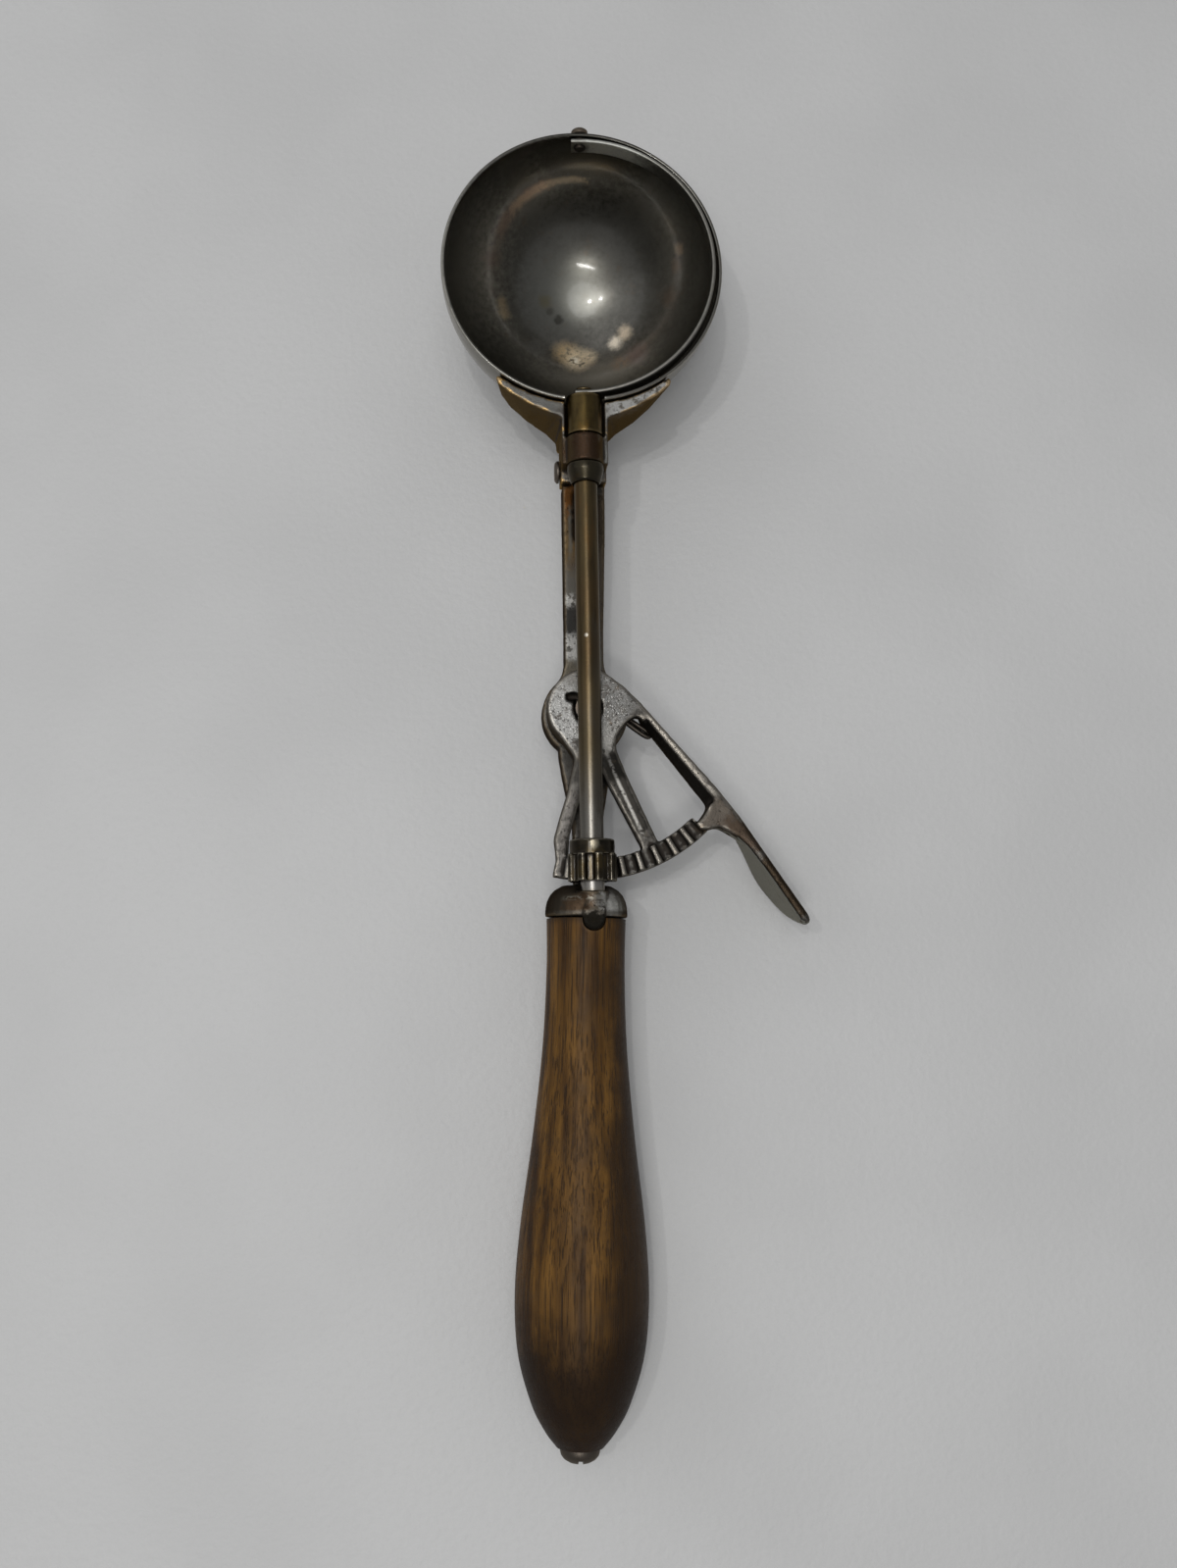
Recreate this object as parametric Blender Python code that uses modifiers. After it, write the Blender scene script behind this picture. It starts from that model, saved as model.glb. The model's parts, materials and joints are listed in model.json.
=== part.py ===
"""Spade-lever ice cream scoop: a hemispherical bowl on a cast shank with a turned wooden handle.

Squeezing the thumb lever turns its toothed sector under the pinion on the drive rod, and the rod
sweeps the scraper blade round the inside of the bowl.

Tool frame: the drive rod lies along Y with the bowl's centre at the origin and the tip at +Y.
+X is the lever's side and +Z points out of the bowl. An empty then lays the tool down as it
rests on a table, on its bowl, its handle and its thumb pad.
"""
import math

import bmesh
import bpy
from mathutils import Euler, Matrix, Vector

MM = 0.001

# Fits between neighbouring pieces
GAP = 0.3 * MM
RUNNING = 0.15 * MM

# Bowl
BOWL_RADIUS = 31.0 * MM
BOWL_WALL = 0.8 * MM
RIM_RISE = 2.0 * MM

# Scraper blade, a half hoop inside the bowl
BLADE_THICKNESS = 0.8 * MM
BLADE_WIDTH = 4.6 * MM
BLADE_WALL_GAP = 0.8 * MM
BLADE_END_REACH = 1.9 * MM
BLADE_PARK_ANGLE = math.radians(4.0)

# Rivet on which the blade turns at the bowl's tip
TIP_RIVET_RADIUS = 1.15 * MM
TIP_HEAD_RADIUS = 1.85 * MM
TIP_HEAD_HEIGHT = 1.6 * MM
TIP_RIVET_REACH = 0.6 * MM

# Drive rod with its brass sleeve and collar
ROD_RADIUS = 2.5 * MM
ROD_STUB_RADIUS = 1.4 * MM
ROD_HEAD_RADIUS = 2.1 * MM
ROD_HEAD_HEIGHT = 1.0 * MM
SLEEVE_RADIUS = 3.95 * MM
SLEEVE_LENGTH = 8.7 * MM
COLLAR_RADIUS = 3.95 * MM
COLLAR_TAIL_RADIUS = 3.0 * MM
COLLAR_LENGTH = 4.1 * MM
COLLAR_BAND = 1.4 * MM

# Yoke: two arms that hug the bowl, and the rod's front bearing
YOKE_ARM_THICKNESS = 3.6 * MM
YOKE_ARM_SPREAD = math.radians(36.0)
YOKE_STATIONS = (
    (1.02, 0.2, -1.6 * MM), (0.98, 0.40, -0.9 * MM), (0.82, 0.52, 0.4 * MM),
    (0.57, 0.66, 2.0 * MM), (0.37, 0.80, 3.4 * MM), (0.25, 0.92, 5.2 * MM), (0.22, 1.0, 7.4 * MM),
)
YOKE_TOP_RISE = 1.0 * MM
YOKE_DEPTH = 12.5 * MM
BLOCK_HALF_WIDTH = 5.0 * MM
BLOCK_DEPTH = 10.2 * MM
BLOCK_SHOULDER = 0.5 * MM
BLOCK_REAR_LENGTH = 2.5 * MM
BEARING_RADIUS = 4.0 * MM
BEARING_LENGTH = 6.0 * MM
TROUGH_CLEARANCE = 0.4 * MM

# Tenon of the shank in the yoke, and the screw across it
TENON_HALF_WIDTH = 2.6 * MM
TENON_HEIGHT = 3.6 * MM
TENON_DROP = 5.5 * MM
TENON_LENGTH = 6.2 * MM
CROSS_SCREW_RADIUS = 0.9 * MM
CROSS_HEAD_RADIUS = 2.45 * MM
CROSS_HEAD_HEIGHT = 0.9 * MM

# Shank, cast in one with the pivot boss and the ferrule
SHANK_NECK_WIDTH = 9.3 * MM
SHANK_WAIST_WIDTH = 8.6 * MM
SHANK_TAIL_WIDTH = 6.4 * MM
SHANK_THICKNESS = 5.0 * MM
SHANK_STEP = 4.0 * MM
SHANK_NECK_LENGTH = 9.0 * MM
SHANK_FLARE_LENGTH = 3.0 * MM
SHANK_WAIST_LENGTH = 7.0 * MM
SHANK_TAIL_FLARE = 5.0 * MM
SHANK_TAIL_TAPER = 11.0 * MM
SHANK_NECK_DROP = 5.6 * MM
CHANNEL_WIDTH = 4.4 * MM
CHANNEL_DEPTH = 1.2 * MM
CHANNEL_START = 1.5 * MM
CHANNEL_LENGTH = 10.5 * MM
BOSS_RADIUS = 9.4 * MM
BOSS_THICKNESS = 5.0 * MM
PIVOT_FROM_BEARING = 53.0 * MM

# Lever, cast with a toothed sector and a thumb pad
LEVER_TOP_DROP = 3.3 * MM
LEVER_THICKNESS = 5.0 * MM
HUB_RADIUS = 8.7 * MM
HUB_PLATE = 3.0 * MM
SPRING_ROOM = 5.3 * MM
SKIRT_WALL = 1.8 * MM
SKIRT_WINDOW_GROWTH = 1.04
OUTER_ARM_WIDTH = 2.5 * MM
OUTER_ARM_RIDGE = 1.0 * MM
OUTER_ARM_ANGLE = math.radians(51.0)
OUTER_ARM_START = (13.4 * MM, -1.6 * MM)
OUTER_ARM_LENGTH = 22.8 * MM
ARM_STEP_NEAR = 10.8 * MM
ARM_STEP_FAR = 16.5 * MM
OUTER_ARM_SLOPE = 1.15
MIDDLE_ARM_WIDTH = 3.7 * MM
MIDDLE_ARM_START = (4.2 * MM, -9.6 * MM)
MIDDLE_ARM_ANGLE = math.radians(24.0)
HUB_WAIST = ((-5.5 * MM, -6.9 * MM, 0), (-3.0 * MM, -10.8 * MM, 2.0 * MM))
LEFT_ARM_OUTSIDE = ((-4.6 * MM, -18.2 * MM, 0), (-6.3 * MM, -23.4 * MM, 0), (-7.6 * MM, -28.0 * MM, 0))
LEFT_ARM_INSIDE = ((-4.3 * MM, -27.3 * MM, 0), (-2.9 * MM, -22.8 * MM, 0), (-1.3 * MM, -17.6 * MM, 0))
OUTER_EDGE = ((27.3 * MM, -17.2 * MM, 0), (19.5 * MM, -8.3 * MM, 0), (10.9 * MM, 1.7 * MM, 0),
              (7.8 * MM, 4.8 * MM, 0))
MAIN_WINDOW = ((6.0 * MM, -6.2 * MM, 1.5 * MM), (7.9 * MM, -3.3 * MM, 1.5 * MM),
               (10.6 * MM, -1.5 * MM, 1.5 * MM), (12.5 * MM, -3.8 * MM, 1.5 * MM),
               (25.8 * MM, -21.2 * MM, 1.6 * MM))
SMALL_WINDOW_CORNER = (-0.7 * MM, -1.2 * MM, 0.7 * MM)
WEB_CORNERS = ((25.4 * MM, -26.3 * MM, 0), (27.6 * MM, -25.8 * MM, 0))
HUB_NOTCH = ((-4.6 * MM, 1.8 * MM), (-1.8 * MM, 3.2 * MM))
HUB_NOTCH_DEPTH = 1.2 * MM
SECTOR_BAND = 4.4 * MM
SECTOR_BASE = 2.8 * MM
SECTOR_START = math.radians(-12.5)
WEB_ANGLE = math.radians(42.0)
PAD_LENGTH = 28.0 * MM
PAD_DEPTH = 18.9 * MM
PAD_THICKNESS = 1.6 * MM
PAD_STRIP = 1.18
PAD_TIP_ROUNDING = 1.4 * MM
PAD_ANGLE = math.radians(56.2)
PAD_TIP = (47.35 * MM, -46.28 * MM)
PAD_STATIONS = (
    (0.0, 0.30), (0.05, 0.43), (0.11, 0.54), (0.20, 0.63), (0.29, 0.72), (0.46, 0.93),
    (0.57, 1.0), (0.68, 0.96), (0.77, 0.89), (0.85, 0.78), (0.91, 0.63), (0.96, 0.41), (1.0, 0.12),
)

# Gear pair: straight pinion teeth above face teeth on the sector
PINION_TEETH = 8
GEAR_RATIO = 7
PINION_PITCH_RADIUS = 4.94 * MM
TOOTH_RISE = 0.38 * MM
TOOTH_DEPTH = 0.78 * MM
PINION_TOOTH_TIP = 0.9 * MM
PINION_TOOTH_ROOT = 1.9 * MM
SECTOR_TOOTH_TIP = 1.0 * MM
SECTOR_TOOTH_ROOT = 2.1 * MM
MESH_ANGLE = math.radians(1.7)
PINION_LENGTH = 5.8 * MM
PINION_COLLAR_RADIUS = 4.75 * MM
PINION_COLLAR_LENGTH = 3.0 * MM
PINION_PIN_RADIUS = 0.6 * MM

# Pivot stud with its washer and nut
STUD_RADIUS = 2.4 * MM
STUD_HEAD_RADIUS = 2.8 * MM
STUD_HEAD_HEIGHT = 1.0 * MM
STUD_PROUD = 0.3 * MM
PIVOT_WASHER_RADIUS = 4.6 * MM
PIVOT_WASHER_THICKNESS = 0.8 * MM
PIVOT_NUT_RADIUS = 4.2 * MM
PIVOT_NUT_THICKNESS = 2.4 * MM

# Return spring round the stud
WIRE_RADIUS = 0.55 * MM
COIL_RADIUS = 3.66 * MM
COIL_PITCH = 1.58 * MM
COIL_TURNS = 2.2
POINTS_PER_TURN = 10
SPRING_TAIL = 2.2 * MM
LEG_ANGLE = math.radians(35.2)
LEG_LENGTH = 10.2 * MM

# Ferrule, handle and the tang through it
HANDLE_DROP = 6.0 * MM
HANDLE_SHIFT = -1.0 * MM
HANDLE_LEAN = math.radians(-1.65)
FERRULE_GAP = 0.6 * MM
FERRULE_LENGTH = 6.6 * MM
FERRULE_RADIUS = 8.75 * MM
FERRULE_NOSE_RADIUS = 5.2 * MM
JOURNAL_RADIUS = 1.7 * MM
JOURNAL_SEAT = 2.0 * MM
TONGUE_HALF_WIDTH = 2.2 * MM
TONGUE_LENGTH = 2.9 * MM
TONGUE_RISE = 0.7 * MM
TONGUE_THICKNESS = 4.0 * MM
SPINE_SETBACK = 2.0 * MM
HANDLE_LENGTH = 106.8 * MM
HANDLE_STATIONS = (
    (0.0, 8.4), (0.10, 8.25), (0.25, 8.85), (0.42, 10.6), (0.59, 12.9), (0.72, 13.85),
    (0.83, 13.0), (0.92, 10.2), (0.97, 7.4), (1.0, 4.9),
)
TANG_RADIUS = 2.5 * MM
TANG_SOCKET = 3.6 * MM
END_RECESS = 1.4 * MM
END_NUT_RADIUS = 4.1 * MM
END_NUT_HEIGHT = 3.6 * MM
END_NUT_SLOT = 1.1 * MM
END_WASHER_THICKNESS = 0.6 * MM

# Facets
BOWL_STEPS = 64
ROUND_STEPS = 32
SMALL_STEPS = 20
ARC_STEPS = 14

# Places that follow from the sizes above, as distances along and below the rod
BLADE_OUTER = BOWL_RADIUS - BOWL_WALL - BLADE_WALL_GAP
BLADE_INNER = BLADE_OUTER - BLADE_THICKNESS
SLEEVE_FRONT = -(BLADE_OUTER + GAP)
SLEEVE_REAR = SLEEVE_FRONT - SLEEVE_LENGTH
BEARING_FRONT = SLEEVE_REAR - GAP
BEARING_REAR = BEARING_FRONT - BEARING_LENGTH
BLOCK_REAR = BEARING_REAR - BLOCK_REAR_LENGTH
COLLAR_FRONT = BEARING_REAR - GAP
COLLAR_REAR = COLLAR_FRONT - COLLAR_LENGTH
PIVOT_Y = BEARING_REAR - PIVOT_FROM_BEARING
SECTOR_RADIUS = PINION_PITCH_RADIUS * GEAR_RATIO
PINION_FRONT = PIVOT_Y - SECTOR_RADIUS + PINION_LENGTH / 2
PINION_REAR = PINION_FRONT - PINION_LENGTH
PINION_COLLAR_FRONT = PINION_FRONT + PINION_COLLAR_LENGTH
PINION_OUTER = PINION_PITCH_RADIUS + TOOTH_RISE
TOOTH_PITCH_ANGLE = 2 * math.pi / (PINION_TEETH * GEAR_RATIO)
LEVER_SWEEP = (math.pi + 2 * BLADE_PARK_ANGLE) / GEAR_RATIO
LEVER_TOP = -LEVER_TOP_DROP
LEVER_BOTTOM = LEVER_TOP - LEVER_THICKNESS
HUB_CEILING = LEVER_TOP - HUB_PLATE
BOSS_TOP = HUB_CEILING - SPRING_ROOM
BOSS_BOTTOM = BOSS_TOP - BOSS_THICKNESS
SECTOR_INNER = SECTOR_RADIUS - SECTOR_BAND / 2
SECTOR_OUTER = SECTOR_RADIUS + SECTOR_BAND / 2
TOOTH_TOP = -PINION_PITCH_RADIUS + TOOTH_RISE
TOOTH_BOTTOM = -PINION_PITCH_RADIUS - TOOTH_DEPTH
SECTOR_BOTTOM = TOOTH_BOTTOM - SECTOR_BASE
FERRULE_FRONT = PINION_REAR - FERRULE_GAP
FERRULE_REAR = FERRULE_FRONT - FERRULE_LENGTH
HANDLE_Z = -HANDLE_DROP
TONGUE_TOP = ROD_RADIUS + TONGUE_RISE
ROD_END = FERRULE_REAR + JOURNAL_SEAT / 2

# Turns that lay a shape's own Z along the rod or across the tool
ALONG_ROD = Euler((-math.pi / 2, 0, 0))
ACROSS = Euler((math.pi / 2, 0, math.pi / 2))

PALETTE = {
    "bowl_nickel": ((0.30, 0.28, 0.25), 0.38, 1.0),
    "cast_nickel": ((0.34, 0.31, 0.27), 0.50, 1.0),
    "blade_nickel": ((0.38, 0.37, 0.34), 0.35, 1.0),
    "old_brass": ((0.30, 0.20, 0.09), 0.42, 1.0),
    "dark_steel": ((0.14, 0.12, 0.11), 0.50, 1.0),
    "walnut": ((0.20, 0.11, 0.05), 0.45, 0.0),
}

COLLECTIONS = {}


def start_scene():
    """Empty the scene and make one collection for the parts and one for the cutters."""
    for obj in list(bpy.data.objects):
        bpy.data.objects.remove(obj)
    for key, name in (("parts", "ice_cream_scoop"), ("cutters", "cutters")):
        collection = bpy.data.collections.new(name)
        bpy.context.scene.collection.children.link(collection)
        COLLECTIONS[key] = collection


def make_empty(name, parent=None, location=(0, 0, 0), rotation=(0, 0, 0)):
    empty = bpy.data.objects.new(name, None)
    empty.empty_display_size = 10 * MM
    empty.parent = parent
    empty.location = location
    empty.rotation_euler = rotation
    COLLECTIONS["cutters"].objects.link(empty)
    return empty


def finish_for(name, finish):
    colour, roughness, metallic = PALETTE[finish]
    material = bpy.data.materials.new(name + "_finish")
    material.use_nodes = True
    shader = material.node_tree.nodes["Principled BSDF"]
    shader.inputs["Base Color"].default_value = (*colour, 1)
    shader.inputs["Roughness"].default_value = roughness
    shader.inputs["Metallic"].default_value = metallic
    return material


def make_part(obj, finish):
    """Show a shape as one of the parts, under its own material."""
    for collection in list(obj.users_collection):
        collection.objects.unlink(obj)
    COLLECTIONS["parts"].objects.link(obj)
    obj.hide_render = False
    obj.display_type = "TEXTURED"
    obj.data.materials.clear()
    obj.data.materials.append(finish_for(obj.name, finish))
    return obj


def add_shape(name, mesh, parent, location=(0, 0, 0), rotation=(0, 0, 0)):
    """Every shape starts as a hidden helper, and make_part shows the ones that are parts."""
    obj = bpy.data.objects.new(name, mesh)
    obj.parent = parent
    obj.location = location
    obj.rotation_euler = rotation
    obj.hide_render = True
    obj.display_type = "WIRE"
    COLLECTIONS["cutters"].objects.link(obj)
    return obj


def combine(target, other, operation):
    modifier = target.modifiers.new(other.name, "BOOLEAN")
    modifier.operation = operation
    modifier.object = other
    modifier.solver = "EXACT"


def cut(target, *cutters):
    for cutter in cutters:
        combine(target, cutter, "DIFFERENCE")


def join(target, *others):
    for other in others:
        combine(target, other, "UNION")


def curve_to_mesh(guide):
    """Turn a curve object into a closed mesh object in the same place."""
    bpy.context.view_layer.update()
    graph = bpy.context.evaluated_depsgraph_get()
    mesh = bpy.data.meshes.new_from_object(guide.evaluated_get(graph))
    cleaner = bmesh.new()
    cleaner.from_mesh(mesh)
    bmesh.ops.remove_doubles(cleaner, verts=cleaner.verts, dist=0.001 * MM)
    bmesh.ops.recalc_face_normals(cleaner, faces=cleaner.faces)
    cleaner.to_mesh(mesh)
    cleaner.free()
    name = guide.name
    parent = guide.parent
    location = guide.location.copy()
    rotation = guide.rotation_euler.copy()
    bpy.data.objects.remove(guide)
    return add_shape(name, mesh, parent, location, rotation)


def plate(name, outlines, low, high, parent, location=(0, 0, 0), rotation=(0, 0, 0)):
    """A flat outline, with any holes, between two heights along its own Z."""
    curve = bpy.data.curves.new(name, "CURVE")
    curve.dimensions = "2D"
    curve.fill_mode = "BOTH"
    curve.extrude = (high - low) / 2
    for outline in outlines:
        spline = curve.splines.new("POLY")
        spline.points.add(len(outline) - 1)
        for point, place in zip(spline.points, outline):
            point.co = (place[0], place[1], 0, 1)
        spline.use_cyclic_u = True
    middle = Vector((0, 0, (low + high) / 2))
    middle.rotate(Euler(rotation))
    guide = add_shape(name, curve, parent, Vector(location) + middle, rotation)
    return curve_to_mesh(guide)


def tube(name, points, radius, parent):
    """A round wire along a list of points."""
    curve = bpy.data.curves.new(name, "CURVE")
    curve.dimensions = "3D"
    curve.bevel_depth = radius
    curve.bevel_resolution = 1
    curve.use_fill_caps = True
    spline = curve.splines.new("POLY")
    spline.points.add(len(points) - 1)
    for point, place in zip(spline.points, points):
        point.co = (*place, 1)
    return curve_to_mesh(add_shape(name, curve, parent))


def turned(name, profile, parent, closed=False, steps=ROUND_STEPS, location=(0, 0, 0),
           rotation=(0, 0, 0)):
    """Turn a profile of (radius, height) pairs, outer side first from top to bottom."""
    mesh = bpy.data.meshes.new(name)
    edges = [(i, i + 1) for i in range(len(profile) - 1)]
    if closed:
        edges.append((len(profile) - 1, 0))
    mesh.from_pydata([(radius, 0, height) for radius, height in profile], edges, [])
    obj = add_shape(name, mesh, parent, location, rotation)
    screw = obj.modifiers.new("turn", "SCREW")
    screw.axis = "Z"
    screw.steps = steps
    screw.render_steps = steps
    screw.use_merge_vertices = True
    screw.merge_threshold = 0.001 * MM
    screw.use_smooth_shade = True
    return obj


def ring(name, outer, inner, low, high, parent, steps=ROUND_STEPS, location=(0, 0, 0),
         rotation=(0, 0, 0)):
    profile = [(outer, high), (outer, low), (inner, low), (inner, high)]
    return turned(name, profile, parent, True, steps, location, rotation)


def cylinder(name, radius, start, end, parent, steps=ROUND_STEPS):
    start, end = Vector(start), Vector(end)
    shape = bmesh.new()
    bmesh.ops.create_cone(shape, cap_ends=True, segments=steps, radius1=radius, radius2=radius,
                          depth=(end - start).length)
    mesh = bpy.data.meshes.new(name)
    shape.to_mesh(mesh)
    shape.free()
    turn = (end - start).to_track_quat("Z", "Y").to_euler()
    return add_shape(name, mesh, parent, (start + end) / 2, turn)


def sphere(name, radius, parent, steps=BOWL_STEPS):
    shape = bmesh.new()
    bmesh.ops.create_uvsphere(shape, u_segments=steps, v_segments=steps // 2, radius=radius)
    mesh = bpy.data.meshes.new(name)
    shape.to_mesh(mesh)
    shape.free()
    return add_shape(name, mesh, parent)


def box(name, low, high, parent, location=(0, 0, 0), rotation=(0, 0, 0)):
    low, high = Vector(low), Vector(high)
    shape = bmesh.new()
    bmesh.ops.create_cube(shape, size=1)
    bmesh.ops.transform(shape, verts=shape.verts, matrix=Matrix.LocRotScale(
        (low + high) / 2, None, high - low))
    mesh = bpy.data.meshes.new(name)
    shape.to_mesh(mesh)
    shape.free()
    return add_shape(name, mesh, parent, location, rotation)


def arc(radius, start, end, steps=ARC_STEPS, centre=(0, 0)):
    """Points on an arc whose angles are measured from -Y towards +X."""
    points = []
    for i in range(steps + 1):
        angle = start + (end - start) * i / steps
        points.append((centre[0] + radius * math.sin(angle), centre[1] - radius * math.cos(angle)))
    return points


def swept(name, profile, start, end, parent, steps=ARC_STEPS):
    """Sweep a closed (radius, height) profile about Z, through angles from -Y towards +X."""
    shape = bmesh.new()
    rows = []
    for i in range(steps + 1):
        angle = start + (end - start) * i / steps
        rows.append([shape.verts.new((radius * math.sin(angle), -radius * math.cos(angle), height))
                     for radius, height in profile])
    count = len(profile)
    for row, following in zip(rows, rows[1:]):
        for k in range(count):
            after = (k + 1) % count
            shape.faces.new((row[k], row[after], following[after], following[k]))
    shape.faces.new(rows[0])
    shape.faces.new(list(reversed(rows[-1])))
    bmesh.ops.recalc_face_normals(shape, faces=shape.faces)
    mesh = bpy.data.meshes.new(name)
    shape.to_mesh(mesh)
    shape.free()
    return add_shape(name, mesh, parent)


def loft(name, low_outline, low, high_outline, high, parent):
    """Join two outlines of as many points at two heights."""
    shape = bmesh.new()
    rings = [[shape.verts.new((x, y, z)) for x, y in outline]
             for outline, z in ((low_outline, low), (high_outline, high))]
    count = len(low_outline)
    for k in range(count):
        after = (k + 1) % count
        shape.faces.new((rings[0][k], rings[0][after], rings[1][after], rings[1][k]))
    shape.faces.new(rings[0])
    shape.faces.new(list(reversed(rings[1])))
    bmesh.ops.triangulate(shape, faces=shape.faces)
    bmesh.ops.recalc_face_normals(shape, faces=shape.faces)
    mesh = bpy.data.meshes.new(name)
    shape.to_mesh(mesh)
    shape.free()
    return add_shape(name, mesh, parent)


def rounded(corners, steps=4):
    """Outline through (x, y, fillet radius) corners."""
    points = []
    count = len(corners)
    for i, (x, y, radius) in enumerate(corners):
        here = Vector((x, y))
        if radius <= 0:
            points.append((x, y))
            continue
        to_last = (Vector(corners[i - 1][:2]) - here)
        to_next = (Vector(corners[(i + 1) % count][:2]) - here)
        half = to_last.angle(to_next) / 2
        reach = min(radius / math.tan(half), 0.45 * to_last.length, 0.45 * to_next.length)
        start = here + to_last.normalized() * reach
        end = here + to_next.normalized() * reach
        for k in range(steps + 1):
            t = k / steps
            point = start * (1 - t) ** 2 + here * 2 * t * (1 - t) + end * t ** 2
            points.append((point.x, point.y))
    return points


def smooth_through(stations, steps=4):
    """Catmull-Rom curve through (along, radius) stations."""
    points = []
    for i in range(len(stations) - 1):
        before = Vector(stations[max(i - 1, 0)])
        start = Vector(stations[i])
        end = Vector(stations[i + 1])
        after = Vector(stations[min(i + 2, len(stations) - 1)])
        for k in range(steps):
            t = k / steps
            point = 0.5 * (2 * start + (end - before) * t
                           + (2 * before - 5 * start + 4 * end - after) * t ** 2
                           + (3 * start - before - 3 * end + after) * t ** 3)
            points.append(tuple(point))
    points.append(tuple(stations[-1]))
    return points


def dome(radius, base, height, steps=5):
    """Profile of a dome from its top at the axis down to its rim at the base."""
    points = []
    for i in range(steps + 1):
        angle = math.pi / 2 * i / steps
        points.append((radius * math.sin(angle), base + height * math.cos(angle)))
    return points


def make_bowl(tool):
    """Spun half sphere with a short upright lip, notched for the sleeve."""
    inner = BOWL_RADIUS - BOWL_WALL
    angles = [math.pi / 2 * i / ARC_STEPS for i in range(ARC_STEPS + 1)]
    profile = [(inner * math.sin(a), -inner * math.cos(a)) for a in angles]
    profile += [(inner, RIM_RISE), (BOWL_RADIUS, RIM_RISE)]
    profile += [(BOWL_RADIUS * math.sin(a), -BOWL_RADIUS * math.cos(a)) for a in reversed(angles)]
    bowl = turned("bowl", profile, tool, steps=BOWL_STEPS)
    notch = SLEEVE_RADIUS + TROUGH_CLEARANCE
    outside = BOWL_RADIUS + BOWL_WALL
    inside = BLADE_INNER - BOWL_WALL
    round_notch = cylinder("bowl_notch", notch, (0, -outside, 0), (0, -inside, 0), tool)
    open_top = box("bowl_notch_top", (-notch, -outside, 0), (notch, -inside, 2 * RIM_RISE), tool)
    tip_hole = cylinder("bowl_tip_hole", TIP_RIVET_RADIUS + GAP, (0, inside, 0), (0, outside, 0),
                        tool, SMALL_STEPS)
    cut(bowl, round_notch, open_top, tip_hole)
    return make_part(bowl, "bowl_nickel")


def make_tip_rivet(tool):
    """Round-headed rivet through the bowl's tip, whose inner end carries the blade."""
    seat = BOWL_RADIUS + GAP
    inner_end = BLADE_INNER - TIP_RIVET_REACH
    profile = dome(TIP_HEAD_RADIUS, seat, TIP_HEAD_HEIGHT)
    profile += [(TIP_RIVET_RADIUS, seat), (TIP_RIVET_RADIUS, inner_end), (0, inner_end)]
    rivet = turned("tip_pivot_rivet", profile, tool, steps=SMALL_STEPS, rotation=ALONG_ROD)
    return make_part(rivet, "cast_nickel")


def make_blade(rod_axis):
    """Half hoop from the tip to the sleeve, parked a little above the rim on the +X side."""
    outline = [(-BLADE_END_REACH, -BLADE_OUTER)]
    outline += arc(BLADE_OUTER, 0, math.pi, 2 * ARC_STEPS)
    outline += [(-BLADE_END_REACH, BLADE_OUTER), (-BLADE_END_REACH, BLADE_INNER)]
    outline += list(reversed(arc(BLADE_INNER, 0, math.pi, 2 * ARC_STEPS)))
    outline += [(-BLADE_END_REACH, -BLADE_INNER)]
    blade = plate("scraper_blade", [outline], -BLADE_WIDTH / 2, BLADE_WIDTH / 2, rod_axis,
                  rotation=(0, -BLADE_PARK_ANGLE, 0))
    inside = BLADE_INNER - BLADE_THICKNESS
    outside = BLADE_OUTER + BLADE_THICKNESS
    tip_hole = cylinder("blade_tip_hole", TIP_RIVET_RADIUS + RUNNING, (0, inside, 0),
                        (0, outside, 0), rod_axis, SMALL_STEPS)
    rod_hole = cylinder("blade_rod_hole", ROD_STUB_RADIUS + GAP, (0, -outside, 0),
                        (0, -inside, 0), rod_axis, SMALL_STEPS)
    cut(blade, tip_hole, rod_hole)
    return make_part(blade, "blade_nickel")


def make_rod(rod_axis):
    """Drive rod: a riveted stub in the blade, the long rod, and a small rear journal."""
    head_seat = -BLADE_INNER + GAP
    shoulder = SLEEVE_FRONT
    journal = FERRULE_FRONT - JOURNAL_SEAT
    profile = dome(ROD_HEAD_RADIUS, head_seat, ROD_HEAD_HEIGHT)
    profile += [(ROD_STUB_RADIUS, head_seat), (ROD_STUB_RADIUS, shoulder), (ROD_RADIUS, shoulder),
                (ROD_RADIUS, journal), (JOURNAL_RADIUS, journal), (JOURNAL_RADIUS, ROD_END),
                (0, ROD_END)]
    rod = turned("drive_rod", profile, rod_axis, rotation=ALONG_ROD)
    pin_y = PINION_FRONT + PINION_COLLAR_LENGTH / 2
    reach = PINION_COLLAR_RADIUS
    hole = cylinder("rod_pin_hole", PINION_PIN_RADIUS + GAP, (-reach, pin_y, 0),
                    (reach, pin_y, 0), rod_axis, SMALL_STEPS)
    cut(rod, hole)
    return make_part(rod, "old_brass")


def make_sleeve(rod_axis):
    sleeve = ring("blade_sleeve", SLEEVE_RADIUS, ROD_RADIUS + GAP, SLEEVE_REAR, SLEEVE_FRONT,
                  rod_axis, rotation=ALONG_ROD)
    return make_part(sleeve, "old_brass")


def make_collar(rod_axis):
    """Tapered thrust collar behind the front bearing."""
    bore = ROD_RADIUS + GAP
    profile = [(COLLAR_RADIUS, COLLAR_FRONT), (COLLAR_RADIUS, COLLAR_FRONT - COLLAR_BAND),
               (COLLAR_TAIL_RADIUS + GAP, COLLAR_REAR + GAP), (COLLAR_TAIL_RADIUS, COLLAR_REAR),
               (bore, COLLAR_REAR), (bore, COLLAR_FRONT)]
    collar = turned("rod_collar", profile, rod_axis, True, rotation=ALONG_ROD)
    return make_part(collar, "old_brass")


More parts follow.
